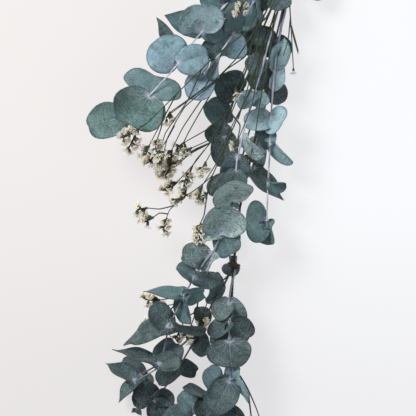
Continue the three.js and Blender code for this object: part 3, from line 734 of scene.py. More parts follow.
# Shader graphs.
class Signal:
    """A socket of a shader graph that takes Python's arithmetic."""

    PERIODS_BELOW = 64

    def __init__(self, graph: "Graph", socket: bpy.types.NodeSocket) -> None:
        """Wraps an output socket of a graph."""
        self.graph, self.socket = graph, socket

    def combine(self, operation: str, other: "Value" = 0.0, swapped: bool = False) -> "Signal":
        """Adds a Math node on this signal and another value."""
        first, second = (other, self) if swapped else (self, other)
        return self.graph.node("ShaderNodeMath", {"operation": operation}, {0: first, 1: second})

    __add__ = __radd__ = partialmethod(combine, "ADD")
    __mul__ = __rmul__ = partialmethod(combine, "MULTIPLY")
    __sub__ = partialmethod(combine, "SUBTRACT")
    __rsub__ = partialmethod(combine, "SUBTRACT", swapped=True)
    __pow__ = partialmethod(combine, "POWER")
    __abs__ = partialmethod(combine, "ABSOLUTE")
    angle = partialmethod(combine, "ARCTAN2")  # of a point with this as its height, the other as its run

    def fold(self, period: float) -> "Signal":
        """The distance to the nearest multiple of a period, also for values below 0."""
        return (self + self.PERIODS_BELOW * period).combine("PINGPONG", period / 2)

    def axis(self, number: int) -> "Signal":
        """A coordinate of this vector: 0 is X, 1 is Y."""
        return self.graph.node("ShaderNodeSeparateXYZ", {}, {0: self}, number)

    def band(self, low: float, high: float) -> "Signal":
        """A soft step from 0 at low to 1 at high."""
        sockets = {"Value": self, "From Min": low, "From Max": high}
        return self.graph.node("ShaderNodeMapRange", {"interpolation_type": "SMOOTHSTEP"}, sockets)

    def below(self, low: float, high: float) -> "Signal":
        """A soft step from 1 at low to 0 at high."""
        return 1 - self.band(low, high)


Value = Signal | float | Colour | Vector


@dataclass(frozen=True)
class Noise:
    """A noise of a finish, and the levels between which its mask turns from 0 to 1."""

    scale: float  # cells per metre, or per unit of another vector
    detail: float = 3.0
    lean: float = 0.5  # how strong the small cells are
    low: float = 0.0
    high: float = 1.0


class Graph:
    """The node graph of one material."""

    def __init__(self, name: str) -> None:
        """Starts a material with a bare Principled shader.

        Args:
            name: The material's name.
        """
        self.material = bpy.data.materials.new(name)
        self.material.use_nodes = True
        self.tree = self.material.node_tree
        self.tree.nodes.clear()
        self.shader = self.tree.nodes.new("ShaderNodeBsdfPrincipled")
        output = self.tree.nodes.new("ShaderNodeOutputMaterial")
        self.tree.links.new(self.shader.outputs[0], output.inputs[0])

    def node(self, kind: str, settings: dict[str, Any], inputs: dict[int | str, Value],
             output: int | str = 0) -> Signal:
        """Adds a node.

        Args:
            kind: The node's type.
            settings: Its properties, which are set first.
            inputs: Values or signals for its sockets, by name or number.
            output: The output to return.

        Returns:
            The node's output as a signal.
        """
        made = self.tree.nodes.new(kind)
        for name, value in settings.items():
            setattr(made, name, value)
        for key, value in inputs.items():
            self.feed(made.inputs[key], value)
        return Signal(self, made.outputs[output])

    def feed(self, socket: bpy.types.NodeSocket, value: Value) -> None:
        """Links a signal to a socket, or sets a value on it.

        Args:
            socket: The input socket.
            value: The signal or the value.
        """
        if isinstance(value, Signal):
            self.tree.links.new(value.socket, socket)
        else:
            socket.default_value = value

    def layered(self, colour: Value, *layers: tuple[Value, Value]) -> Value:
        """Lays colours over one another.

        Args:
            colour: The lowest colour.
            layers: The others from the bottom up, each as its share and its colour.

        Returns:
            The colour that comes out on top.
        """
        for share, other in layers:
            colour = self.node("ShaderNodeMix", {"data_type": "RGBA"}, {0: share, 6: colour, 7: other}, 2)
        return colour

    def place(self) -> Signal:
        """The point's Object coordinates, in metres."""
        return self.node("ShaderNodeTexCoord", {}, {}, "Object")

    def blade(self) -> Signal:
        """The point's place on the map of its own leaf or floret."""
        return self.node("ShaderNodeUVMap", {"uv_map": "blade"}, {})

    def attribute(self, name: str, output: str) -> Signal:
        """A value that the mesh carries at each vertex."""
        return self.node("ShaderNodeAttribute", {"attribute_name": name}, {}, output)

    def noise(self, form: Noise, over: Signal | None = None) -> Signal:
        """A noise over a vector or the Object coordinates."""
        sockets = {"Scale": form.scale, "Detail": form.detail, "Roughness": form.lean}
        return self.node("ShaderNodeTexNoise", {}, {"Vector": over or self.place(), **sockets})

    def mask(self, form: Noise, over: Signal | None = None) -> Signal:
        """The mask of a noise, from 0 at its low level to 1 at its high one."""
        return self.noise(form, over).band(form.low, form.high)

    def cells(self, scale: float) -> Signal:
        """The distance to the nearest border between cells over Object coordinates."""
        sockets = {"Vector": self.place(), "Scale": scale}
        return self.node("ShaderNodeTexVoronoi", {"feature": "DISTANCE_TO_EDGE"}, sockets, "Distance")

    def finish(self, colour: Value, roughness: Value, height: Signal, depth: float,
               **constants: float | Point) -> Material:
        """Feeds the shader.

        Args:
            colour: The base colour.
            roughness: The roughness.
            height: The height that bumps the surface, from 0 to 1.
            depth: The bump's depth in metres.
            constants: Values of other sockets, with _ for a blank in a name.

        Returns:
            The finished material.
        """
        bump = self.node("ShaderNodeBump", {}, {"Distance": depth, "Height": height})
        for name, value in {"Base Color": colour, "Roughness": roughness, "Normal": bump}.items():
            self.feed(self.shader.inputs[name], value)
        for name, value in constants.items():
            self.shader.inputs[name.replace("_", " ")].default_value = value
        return self.material


def srgb(red: float, green: float, blue: float) -> Colour:
    """Turns a display colour into the linear one that shaders use.

    Args:
        red: Its red, from 0 to 255.
        green: Its green.
        blue: Its blue.

    Returns:
        The linear colour, with an alpha of 1.
    """
    shares = (value / 255 for value in (red, green, blue))
    linear = [v / 12.92 if v <= 0.04045 else ((v + 0.055) / 1.055) ** 2.4 for v in shares]
    return (linear[0], linear[1], linear[2], 1.0)


class Tone(Enum):
    """The leaf tones of the runner, from its shaded leaves, whose DUSK tone is painted shade, to its
    bloomed ones; the palest, ICE and the bloom tone, are partly painted light.
    """

    # Painted shade: the darkest tone, for leaves that lie deep in shadow.
    DUSK = srgb(24, 41, 44)
    SLATE = srgb(35, 56, 58)
    PEWTER = srgb(62, 82, 79)
    TEAL = srgb(68, 103, 107)
    GREEN = srgb(74, 110, 104)
    HAZE = srgb(116, 154, 170)
    AQUA = srgb(126, 170, 179)
    LAVENDER = srgb(134, 162, 186)
    MIST = srgb(124, 154, 150)
    # A frosted tone made paler than the leaf is: its real bloom, plus painted light that lifts leaves
    # shaded by a steep tilt.
    BLOOM = srgb(164, 194, 192)
    FOAM = srgb(94, 130, 132)
    # Painted light: the leaves' own pale teal made paler still, to lift leaves that the lamps leave too
    # dark, most of them steeply tilted.
    ICE = srgb(160, 196, 210)


TONES = {tone.name[0]: tone for tone in Tone}
FROST = {
    Tone.MIST: 1.0, Tone.BLOOM: 1.0, Tone.PEWTER: 0.25, Tone.AQUA: 0.4, Tone.HAZE: 0.3, Tone.GREEN: 0.2,
    Tone.FOAM: 0.2, Tone.ICE: 0.6, Tone.LAVENDER: 0.4,
}
LEAST_FROST = 0.12
MAP_HUB = (0.2, 0.5)  # the hub's place on a leaf's map


@dataclass(frozen=True)
class LeafFinish:
    """A waxy blue-green leaf with a pale hub, a fan of veins and a dusty bloom.

    Distances are leaf lengths, or leaf widths across it. The veins' angle is in radians.
    """

    bloom: Colour = srgb(158, 186, 196)
    frosting: Colour = srgb(200, 216, 217)
    hub: Colour = srgb(200, 206, 224)
    green: Colour = srgb(48, 84, 66)
    shade: Colour = srgb(24, 46, 48)
    rim: Colour = srgb(36, 60, 56)
    rust: Colour = srgb(126, 78, 56)
    wander: Noise = Noise(180)
    patches: Noise = Noise(75, 5, 0.68, 0.47, 0.62)
    clouds: Noise = Noise(42, 3, 0.6, 0.38, 0.68)
    grain: Noise = Noise(700, 4, 0.75, 0.38, 0.62)
    specks: Noise = Noise(520, 3, 0.7, 0.56, 0.7)
    dust: Noise = Noise(85, 4, 0.6, 0.36, 0.72)
    mottle: Noise = Noise(2.6, 6, 0.75, 0.46, 0.57)
    rust_spots: Noise = Noise(190, 2, 0.5, 0.735, 0.775)
    vein_angle: float = 0.36
    vein_width: Span = (0.003, 0.010)
    vein_wander: float = 0.5
    vein_closing: float = 0.42  # how much the fan closes in a leaf length
    vein_fade: Span = (0.08, 0.6)  # from the hub out
    vein_far: float = 0.12  # how strong the veins are at the rim
    vein_near: float = 0.8  # and how much stronger at the hub
    midrib_width: Span = (0.004, 0.014)
    midrib_start: Span = (0.0, 0.05)
    midrib_share: float = 0.4
    net_scale: float = 430  # cells per metre
    net_width: Span = (0.02, 0.13)  # in cells
    net_share: float = 0.3
    full_veins: float = 1.2
    hub_size: Span = (0.02, 0.15)
    rim_width: Span = (0.92, 1.0)  # from the hub at 0 to the rim at 1
    rim_start: Span = (0.2, 0.4)
    ray: Point = (5, 7, 40)  # the mottle's scales round the hub, outwards and from leaf to leaf
    depth: float = 0.0005

    def material(self) -> Material:
        """Builds the material from the blade's own map, its tint and its frost.

        Returns:
            The material of all leaves.
        """
        graph = Graph("eucalyptus_leaf")
        tint, edge = graph.attribute("tint", "Color"), graph.attribute("tint", "Alpha")
        frost = graph.attribute("frost", "Fac")
        along, across = (graph.blade().axis(number) - MAP_HUB[number] for number in (0, 1))
        radius = (along * along + across * across) ** 0.5
        wander = (graph.noise(self.wander) - 0.5) * self.vein_wander
        fan = across.angle(along) * (1 - radius * self.vein_closing) + wander
        vein = (fan.fold(self.vein_angle) * radius).below(*self.vein_width)
        vein *= self.vein_far + self.vein_near * radius.below(*self.vein_fade)
        midrib = abs(across).below(*self.midrib_width) * along.band(*self.midrib_start)
        net = graph.cells(self.net_scale).below(*self.net_width)
        veins = (vein + midrib * self.midrib_share + net * self.net_share).band(0.0, self.full_veins)

        patches, clouds, grain = (graph.mask(noise) for noise in (self.patches, self.clouds, self.grain))
        specks, dust, rust = (graph.mask(noise) for noise in (self.specks, self.dust, self.rust_spots))
        places = (fan, radius, graph.place().axis(0))
        ray = {number: place * scale for number, (place, scale) in enumerate(zip(places, self.ray))}
        mottle = graph.mask(self.mottle, graph.node("ShaderNodeCombineXYZ", {}, ray))
        colour = graph.layered(
            tint,
            (patches * (0.5 + 0.35 * frost), self.green),
            (clouds * 0.34 + specks * 0.4, self.shade),
            (dust * (0.04 + 0.5 * grain) * (0.5 + frost), self.bloom),
            (mottle * frost * 0.8, self.frosting),
            (veins * 0.42, self.hub),
            (radius.below(*self.hub_size) * 0.9, self.hub),
            (edge.band(*self.rim_width) * radius.band(*self.rim_start) * 0.45, self.rim),
            (rust * 0.75, self.rust),
        )
        roughness = 0.52 + 0.22 * dust - 0.08 * veins
        height = (veins * 0.6 + grain * 0.35 + patches * 0.2).band(0.0, 1.1)
        return graph.finish(colour, roughness, height, self.depth, Sheen_Weight=0.05,
                            Sheen_Roughness=0.5, Specular_IOR_Level=0.25)


@dataclass(frozen=True)
class BarkFinish:
    """A stem: a base colour with patches of another, dark specks and grain."""

    name: str
    base: Colour
    patch: Colour
    dark: Colour
    patches: Noise = Noise(130, 4, 0.6, 0.4, 0.62)
    grain: Noise = Noise(1400, 4, 0.7, 0.35, 0.7)
    specks: Noise = Noise(560, 2, 0.5, 0.6, 0.72)
    roughness: float = 0.6
    depth: float = 0.0003

    def material(self) -> Material:
        """Builds the material over Object coordinates.

        Returns:
            The material of a plant's stems.
        """
        graph = Graph(self.name)
        grain = graph.noise(self.grain)
        colour = graph.layered(self.base, (graph.mask(self.patches), self.patch),
                               (graph.mask(self.specks) * 0.6, self.dark),
                               (grain.band(self.grain.low, self.grain.high) * 0.25, self.dark))
        return graph.finish(colour, self.roughness + 0.15 * grain, grain, self.depth)


@dataclass(frozen=True)
class PaperFinish:
    """A dry papery part of a floret: it pales from its throat to its rim, and may let light through."""

    name: str
    throat: Colour
    rim: Colour
    fleck: Colour
    glow: float = 0.0
    grain: Noise = Noise(1900, 3, 0.6)
    flecks: Noise = Noise(420, 2, 0.5, 0.56, 0.74)
    paling: Span = (0.3, 0.8)  # from the throat at 0 to the rim at 1
    depth: float = 0.0002
    glow_reach: float = 0.003

    def material(self) -> Material:
        """Builds the material from the floret's own map.

        Returns:
            The material of one part of the florets.
        """
        graph = Graph(self.name)
        grain = graph.noise(self.grain)
        out = graph.blade().axis(0) + (grain - 0.5) * 0.25
        colour = graph.layered(self.throat, (out.band(*self.paling), self.rim),
                               (graph.mask(self.flecks) * 0.5, self.fleck))
        return graph.finish(colour, 0.8 + 0.1 * grain, grain, self.depth, Sheen_Weight=0.15,
                            Subsurface_Weight=self.glow, Subsurface_Scale=self.glow_reach,
                            Subsurface_Radius=(1.0, 0.8, 0.5))


@dataclass(frozen=True)
class TwineFinish:
    """Twisted jute with pale fibres and dark patches."""

    name: str
    base: Colour
    pale: Colour
    dark: Colour
    fibre: Noise = Noise(2600, 4, 0.75, 0.45, 0.75)
    patches: Noise = Noise(150, 3, 0.5, 0.4, 0.65)
    depth: float = 0.0005

    def material(self) -> Material:
        """Builds the material over Object coordinates.

        Returns:
            The material of a twine.
        """
        graph = Graph(self.name)
        fibre = graph.noise(self.fibre)
        colour = graph.layered(self.base, (graph.mask(self.patches) * 0.5, self.dark),
                               (fibre.band(self.fibre.low, self.fibre.high) * 0.55, self.pale))
        return graph.finish(colour, 0.85 + 0.1 * fibre, fibre, self.depth, Sheen_Weight=0.3)


# Shapes.
def stand(name: str, data: bpy.types.ID) -> bpy.types.Object:
    """Puts an object into the scene.

    Args:
        name: Its name.
        data: Its mesh, curve, light or camera.

    Returns:
        The object.
    """
    made = bpy.data.objects.new(name, data)
    bpy.context.scene.collection.objects.link(made)
    return made


def meshed(bm: bmesh.types.BMesh, name: str) -> Mesh:
    """Turns a finished bmesh into a mesh, and frees it.

    Args:
        bm: The bmesh.
        name: The mesh's name.

    Returns:
        The mesh.
    """
    mesh = bpy.data.meshes.new(name)
    bm.to_mesh(mesh)
    bm.free()
    return mesh


class Sweeps:
    """Round strands along lines, made together as one curve and then meshed."""

    def __init__(self, sides: int) -> None:
        """Starts an empty set of strands.

        Args:
            sides: The sides of a strand's section, an even number, four or more.
        """
        self.curve = bpy.data.curves.new("strands", "CURVE")
        self.curve.dimensions = "3D"
        self.curve.bevel_depth = 1.0
        self.curve.bevel_resolution = sides // 2 - 2
        self.curve.use_fill_caps = True

    def add(self, line: Sequence[Vector], radii: Sequence[float]) -> None:
        """Adds a strand along a line.

        Args:
            line: Its points.
            radii: Its radius at each point.
        """
        spline = self.curve.splines.new("POLY")
        spline.points.add(len(line) - 1)
        for point, spot, radius in zip(spline.points, line, radii):
            point.co = (*spot, 1.0)
            point.radius = radius

    def taper(self, line: Sequence[Vector], start: float, end: float) -> None:
        """Adds a strand that tapers from one radius to another."""
        last = len(line) - 1
        self.add(line, [start + (end - start) * i / last for i in range(last + 1)])

    def mesh(self) -> Mesh:
        """Meshes the strands, which ends the set.

        Returns:
            One mesh of all strands.
        """
        carrier = stand("strands", self.curve)
        depsgraph = bpy.context.evaluated_depsgraph_get()
        mesh = bpy.data.meshes.new_from_object(carrier.evaluated_get(depsgraph))
        bpy.data.objects.remove(carrier)
        bpy.data.curves.remove(self.curve)
        return mesh


class Piece:
    """A piece of the runner in the making: a bmesh in millimetres, with a map, a tint and a frost."""

    def __init__(self, name: str) -> None:
        """Starts an empty piece.

        Args:
            name: Its name.
        """
        self.name = name
        self.bm = bmesh.new()
        self.map = self.bm.loops.layers.uv.new("blade")
        self.tint = self.bm.verts.layers.float_color.new("tint")
        self.frost = self.bm.verts.layers.float.new("frost")

    def add(self, mesh: Mesh, material: int = 0) -> list[bmesh.types.BMVert]:
        """Adds a copy of a mesh.

        Args:
            mesh: The mesh, in millimetres.
            material: The number of its faces' material.

        Returns:
            The copy's vertices.
        """
        vertices, faces = len(self.bm.verts), len(self.bm.faces)
        self.bm.from_mesh(mesh)
        self.bm.verts.ensure_lookup_table()
        self.bm.faces.ensure_lookup_table()
        for face in self.bm.faces[faces:]:
            face.smooth = True
            face.material_index = material
        return self.bm.verts[vertices:]

    def finish(self, finishes: Sequence[Material], slot: str, node: str, wall: float = 0.0) -> None:
        """Makes the object, lets it ride on the runner and stand for its node.

        Args:
            finishes: Its materials, by number.
            slot: The record's slot. It is not used.
            node: The node that it stands for.
            wall: How thick its sheets become, in millimetres, or 0 where it has none.
        """
        bmesh.ops.scale(self.bm, vec=(MM, MM, MM), verts=self.bm.verts)
        mesh = meshed(self.bm, self.name)
        for finish in finishes:
            mesh.materials.append(finish)
        piece = stand(self.name, mesh)
        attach(piece, "root")
        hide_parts(node)
        if wall:
            shell = piece.modifiers.new("wall", "SOLIDIFY")
            shell.thickness, shell.offset = wall * MM, 0.0
        log.info("%s: %d faces", self.name, len(mesh.polygons))


def spun(profile: Sequence[Span], steps: int, name: str) -> Mesh:
    """Spins a profile of (radius, height) points about Z.

    Args:
        profile: The points, from the bottom to the top or from the middle out.
        steps: The number of steps round.
        name: The mesh's name.

    Returns:
        The mesh, its normals outward or up, its map running along the profile.
    """
    bm = bmesh.new()
    layer = bm.loops.layers.uv.new("blade")
    corners = [bm.verts.new((radius, 0, height)) for radius, height in profile]
    line = [bm.edges.new(pair) for pair in zip(corners, corners[1:])]
    bmesh.ops.spin(
        bm, geom=[*corners, *line], cent=ORIGIN, axis=UP, dvec=ORIGIN,
        angle=2 * math.pi, steps=steps, use_merge=True, use_duplicate=False,
    )
    bmesh.ops.remove_doubles(bm, verts=bm.verts, dist=MERGE)
    bmesh.ops.recalc_face_normals(bm, faces=bm.faces)
    if sum(face.normal.z * face.calc_area() for face in bm.faces) < 0:
        bmesh.ops.reverse_faces(bm, faces=bm.faces)
    foot = min(height for _, height in profile)
    tall = max(height for _, height in profile) - foot
    for loop in (loop for face in bm.faces for loop in face.loops):
        x, y, z = loop.vert.co
        run = (z - foot) / tall if tall else math.hypot(x, y)
        loop[layer].uv = (run, math.atan2(y, x) / (2 * math.pi) + 0.5)
    return meshed(bm, name)


@dataclass(frozen=True)
class BladeForm:
    """The form of a leaf: its outline from the tip to the notch, and how finely it is made."""

    outline: tuple[Span, ...]
    spokes: int = 32
    rings: tuple[float, ...] = (0.07, 0.2, 0.37, 0.55, 0.72, 0.86, 0.955, 1.0)

    def disc(self) -> Mesh:
        """A flat disc of spokes and rings round the hub, of radius 1."""
        return spun([(ring, 0.0) for ring in (0.0, *self.rings)], self.spokes, "disc")

    def rim(self, share: float) -> Vector:
        """A point of the outline.

        Args:
            share: How far round it the point is, from the tip at 0 to the notch at 1.

        Returns:
            The point, in leaf lengths and widths.
        """
        last = len(self.outline) - 1
        i, t = stretch(last + 1, share * last)
        before, start, end, beyond = (Vector(self.outline[min(max(i + k, 0), last)]) for k in (-1, 0, 1, 2))
        if not i:  # the curve is level across the tip
            before = Vector((end.x, -end.y))
        return between(start, (end - before) / 2, end, (beyond - start) / 2, t)


ROUND_LEAF = BladeForm((
    (0.985, 0.0), (0.995, 0.12), (0.95, 0.25), (0.85, 0.375), (0.7, 0.465), (0.52, 0.502),
    (0.33, 0.49), (0.16, 0.43), (0.02, 0.335), (-0.07, 0.22), (-0.075, 0.1), (-0.015, 0.0),
))
LONG_LEAF = BladeForm((
    (1.07, 0.0), (0.99, 0.07), (0.89, 0.19), (0.77, 0.335), (0.64, 0.45), (0.49, 0.5),
    (0.32, 0.485), (0.16, 0.415), (0.02, 0.32), (-0.06, 0.21), (-0.065, 0.095), (-0.015, 0.0),
))


@dataclass
class LeafMaker:
    """Makes fine leaves with a pale hub at the stem, a creased midrib and a wavy rim.

    Heights and distances are millimetres. Pairs are the least and the most of a seeded draw, or the
    places along the leaf, in lengths from the hub, where a change starts and ends.
    """

    over: float = 1.5  # the height of a blade that lies over its stem
    under: float = -2.1  # and of one that lies under it
    core: float = 1.2  # how near its stem a blade is moved all the way there
    reach: float = 5.5  # how far from its stem it is no longer moved
    most: float = 7.0  # how far at the most it is moved
    level: float = 0.85  # the cosine of the steepest tilt that counts as level
    onward: float = 0.75  # the cosine of the widest angle that counts as along the stem
    past_hub: float = 0.03  # where a blade along its stem comes to lie over it
    lobe_rise: float = 0.25
    over_rise: float = 1.8
    crease: float = 0.6
    crease_width: float = 1.8
    wave: float = 0.04  # in leaf widths
    wide: float = 34.0  # the width from which a leaf is folded less
    table: float = 0.5  # the least height over the table
    long_ratio: float = 1.3
    long_swing: float = 2.2
    waves: tuple[int, ...] = (2, 3, 4)
    lobes: tuple[int, ...] = (2, 3, 5)
    swing: Span = (-0.064, 0.064)
    skew: Span = (0.94, 1.06)
    edge_curl: Span = (-0.12, 0.16)
    fold: Span = (0.0, 0.3)
    bulge: Span = (0.01, 0.05)
    fold_run: Span = (-0.1, 0.35)
    crease_run: Span = (0.02, 0.2)
    lobe_run: Span = (-0.06, 0.16)
    twist_run: Span = (-0.05, 0.25)
    discs: dict[BladeForm, Mesh] = field(default_factory=dict)

    def add(self, piece: Piece, leaf: Leaf, look: tuple[Colour, float], dice: Dice,
            stem: Sequence[Vector], under: bool, second: int) -> None:
        """Adds a leaf to a piece.

        Args:
            piece: The piece that the leaf goes into.
            leaf: The leaf.
            look: Its colour and how frosted it is, from 0 to 1.
            dice: The seeded draws for its small irregularities.
            stem: The points of its stem near its root, towards the tip.
            under: Whether it lies under its stem, not over it.
            second: 1 for the second leaf of a pair, whose lobes lie over those of the first.
        """
        form = LONG_LEAF if leaf.length > leaf.width * self.long_ratio else ROUND_LEAF
        if form not in self.discs:
            self.discs[form] = form.disc()
        tint, frost = look
        along, across, face = leaf.axes()
        _, flat_across, flat_face = leaf_axes(leaf.heading, leaf.lift, 0)
        top = 1 if face.z >= 0 else -1
        level = abs(face.z) > self.level
        lobe_rise = self.lobe_rise * second if under else self.over_rise
        onward = len(stem) > 1 and (stem[-1] - stem[0]).normalized().dot(along) > self.onward
        waves, phase = dice.choice(self.waves), dice.uniform(0, 2 * math.pi)
        swing, skew = dice.uniform(*self.swing), dice.uniform(*self.skew)
        if form is LONG_LEAF:
            swing *= self.long_swing
        edge_curl = dice.uniform(*self.edge_curl)
        fold = top * dice.uniform(*self.fold) * min(1.0, (self.wide / leaf.width) ** 2)
        lobes, bulge = dice.choice(self.lobes), dice.uniform(*self.bulge)
        for vertex in piece.add(self.discs[form]):
            x, y, _ = vertex.co
            ring, turn = math.hypot(x, y), math.atan2(y, x)
            rim = form.rim(abs(turn) / math.pi)
            swell = ring * (1 + bulge * math.cos(lobes * turn + 2 * phase) * ring)
            u, v = rim.x * swell, rim.y * swell * (skew if turn >= 0 else skew - 2)
            v += swing * u * u
            ahead, aside = u * leaf.length, v * leaf.width
            height = leaf.height(ahead, aside)
            height += leaf.width * self.wave * ring**3 * math.sin(waves * turn + phase)
            height += leaf.width * edge_curl * ring**6 + abs(aside) * fold * smooth_step(*self.fold_run, u)
            groove = self.crease * math.exp(-((aside / self.crease_width) ** 2))
            height -= groove * smooth_step(*self.crease_run, u)
            height += top * lobe_rise * (1 - smooth_step(*self.lobe_run, u))
            twist = smooth_step(*self.twist_run, u)
            point = leaf.root + along * ahead + flat_across.lerp(across, twist) * aside
            point += flat_face.lerp(face, twist) * height
            if level:
                below = under and not (onward and u > self.past_hub)
                point = self.beside(point, face * top, stem, below)
            point.z = max(point.z, self.table)
            vertex.co = point
            vertex[piece.tint] = (*tint[:3], ring)
            vertex[piece.frost] = frost
            for loop in vertex.link_loops:
                loop[piece.map].uv = (u + MAP_HUB[0], v + MAP_HUB[1])

    def beside(self, point: Vector, face: Vector, stem: Sequence[Vector], under: bool) -> Vector:
        """Moves a point of a level blade off its stem.

        Args:
            point: The point.
            face: The way up from the blade.
            stem: The points of its stem.
            under: Whether the blade lies under the stem, not over it.

        Returns:
            The point where it clears the stem.
        """
        offset = point - min(stem, key=lambda centre: (centre - point).length_squared)
        height = offset.dot(face)
        aside = (offset - face * height).length
        wanted = self.under if under else self.over
        miss = height - wanted if under else wanted - height
        if aside > self.reach or miss <= 0 or miss > self.most:
            return point
        push = miss * (1 - smooth_step(self.core, self.reach, aside))
        return point - face * push if under else point + face * push


@dataclass
class Sprig:
    """A sprig of eucalyptus: round leaves in pairs on a whitish stem, with young leaves at its tip.

    Lengths are millimetres. Pairs are the least and the most of a seeded draw, apart from the tips, the
    turn and the size of each young leaf, and the heights over the table between which the painted shade on
    low leaves fades out.
    """

    plant: Plant
    blade: float = 0.55
    stem_width: float = 1.15
    tip_width: float = 0.72
    node_swell: float = 0.4
    sides: int = 8
    step: float = 2.5
    near: float = 1.1  # how far from a leaf's root its stem matters, in leaf lengths
    tip_leaf: float = 8.0
    tips: tuple[Span, ...] = ((38, 1.0), (-40, 0.9), (5, 0.7))
    tip_ratio: float = 0.72
    tip_turn: Span = (-12, 12)
    tip_lift: Span = (8, 38)
    tip_roll: Span = (-25, 25)
    tip_cup: float = 0.12
    tip_curl: float = 0.04
    off_tones: tuple[Tone, ...] = (Tone.SLATE, Tone.HAZE, Tone.GREEN)
    off_share: Span = (0, 0.14)
    off_light: Span = (-0.09, 0.09)
    # Painted shade: leaves near the table are darkened to this share of their tone, rising to full tone at
    # the top of the next heights.
    painted_shade_low: float = 0.62
    painted_shade_run: Span = (6, 46)

    def build(self, maker: LeafMaker, leaf_look: Material, bark: Material) -> None:
        """Builds the sprig's leaves and its stems.

        Args:
            maker: Makes the leaves.
            leaf_look: Their material.
            bark: The stems' material.
        """
        dice = random.Random(self.plant.name)
        leaves, stems = Piece(self.plant.name + "_leaves"), Piece(self.plant.name + "_stem")
        strands = Sweeps(self.sides)
        for grown in self.plant.grown:
            line = smooth_path(grown.points, self.step)
            self.add_stem(strands, line, [leaf.root for leaf in grown.leaves])
            for i, leaf in enumerate([*grown.leaves, *self.tip_leaves(grown, dice)]):
                near = [point for point in line if (point - leaf.root).length < leaf.length * self.near]
                tone = self.plant.spray.tones[leaf.row]
                maker.add(leaves, leaf, self.look(tone, leaf, dice), dice, near, tone.isupper(), i % 2)
        leaves.finish([leaf_look], "leaf", self.plant.name, self.blade)
        stems.add(strands.mesh())
        stems.finish([bark], "sprig_stem", self.plant.name)

    def look(self, letter: str, leaf: Leaf, dice: Dice) -> tuple[Colour, float]:
        """Draws how a leaf looks.

        Args:
            letter: The letter of its tone.
            leaf: The leaf.
            dice: The seeded draws.

        Returns:
            Its colour, the tone a little off and darkened near the table as painted shade, and how frosted
            it is.
        """
        tone, other = TONES[letter.upper()], dice.choice(self.off_tones)
        share = dice.uniform(*self.off_share)
        # Painted shade: the lower a leaf lies over the table, the darker its colour.
        light = self.painted_shade_low + (1 - self.painted_shade_low) * smooth_step(*self.painted_shade_run, leaf.root.z)
        light += dice.uniform(*self.off_light)
        mixed = [(a + (b - a) * share) * light for a, b in zip(tone.value, other.value)]
        return (mixed[0], mixed[1], mixed[2], 1.0), FROST.get(tone, LEAST_FROST)

    def tip_leaves(self, grown: Grown, dice: Dice) -> list[Leaf]:
        """The small young leaves at the end of a stem.

        Args:
            grown: The stem.
            dice: The seeded draws.

        Returns:
            The leaves, in the row of the stem's last leaf, or in the first where it has none.
        """
        ahead = grown.points[-1] - grown.points[-2]
        heading = math.degrees(math.atan2(ahead.y, ahead.x))
        last = grown.leaves[-1].row if grown.leaves else 0
        return [
            Leaf(grown.points[-1], heading + turn + dice.uniform(*self.tip_turn), self.tip_leaf * size,
                 self.tip_leaf * size * self.tip_ratio, dice.uniform(*self.tip_lift),
                 dice.uniform(*self.tip_roll), self.tip_cup, self.tip_curl, last)
            for turn, size in self.tips
        ]

    def add_stem(self, strands: Sweeps, line: Sequence[Vector], nodes: Sequence[Vector]) -> None:
        """Adds a stem, a little swollen where leaves sit.

        Args:
            strands: Takes the stem.
            line: Its close points.
            nodes: The places where leaves sit.
        """
        last = len(line) - 1
        radii = []
        for i, point in enumerate(line):
            swell = any((point - node).length < self.step for node in nodes)
            taper = (self.tip_width - self.stem_width) * i / last
            radii.append(self.stem_width + taper + self.node_swell * swell)
        strands.add(line, radii)


@dataclass
class FloretMaker:
    """Makes papery florets: a flared and pleated cup, its bracts and a small flower in its throat.

    Lengths are millimetres. Pairs are the least and the most of a seeded draw, or the heights
    between which a change grows.
    """

    cup_profile: tuple[Span, ...] = (
        (0.45, 0.6), (0.75, 2.0), (1.1, 3.5), (1.8, 4.9), (2.8, 5.9), (3.6, 6.4),
    )
    bract_profile: tuple[Span, ...] = ((0.4, 0.0), (1.15, 0.9), (1.45, 2.4), (1.2, 4.4))
    flower_profile: tuple[Span, ...] = ((0.0, 5.0), (0.4, 5.2), (0.95, 6.1), (1.15, 6.0))
    steps: tuple[int, int, int] = (20, 8, 10)
    pleats: int = 5
    pleat_depth: float = 0.16
    pleat_rise: float = 0.55
    tears: int = 11
    tear: Span = (0.08, 0.2)
    flare_run: Span = (2.5, 6.9)
    teeth: int = 3
    tooth_rise: float = 0.5
    tooth_run: Span = (1, 4)

    def __post_init__(self) -> None:
        """Makes the three shapes of a floret."""
        self.cup = spun(self.cup_profile, self.steps[0], "cup")
        self.bract = spun(self.bract_profile, self.steps[1], "bract")
        self.flower = spun(self.flower_profile, self.steps[2], "flower")

    def add(self, piece: Piece, floret: Floret, size: float, dice: Dice) -> None:
        """Adds a floret to a piece.

        Args:
            piece: The piece that it goes into.
            floret: Its root and direction.
            size: Its size, 1 for a full one.
            dice: The seeded draws for its irregularities.
        """
        axis = floret.direction.normalized()
        spin = Quaternion(axis, dice.uniform(0, 2 * math.pi)) @ UP.rotation_difference(axis)
        phase, tear = dice.uniform(0, 6), dice.uniform(*self.tear)
        for material, mesh in enumerate((self.cup, self.bract, self.flower)):
            for vertex in piece.add(mesh, material):
                x, y, z = vertex.co
                turn, flare = math.atan2(y, x), smooth_step(*self.flare_run, z)
                if mesh is self.cup:
                    ripple = 1 + flare * (self.pleat_depth * math.cos(self.pleats * turn + phase)
                                          + tear * math.sin(self.tears * turn + 2 * phase))
                    x, y = x * ripple, y * ripple
                    z += flare * self.pleat_rise * math.sin(2 * self.pleats * turn + phase)
                elif mesh is self.bract:
                    tooth = self.tooth_rise * math.sin(self.teeth * turn + phase)
                    z += tooth * smooth_step(*self.tooth_run, z)
                vertex.co = floret.root + spin @ (Vector((x, y, z)) * size)


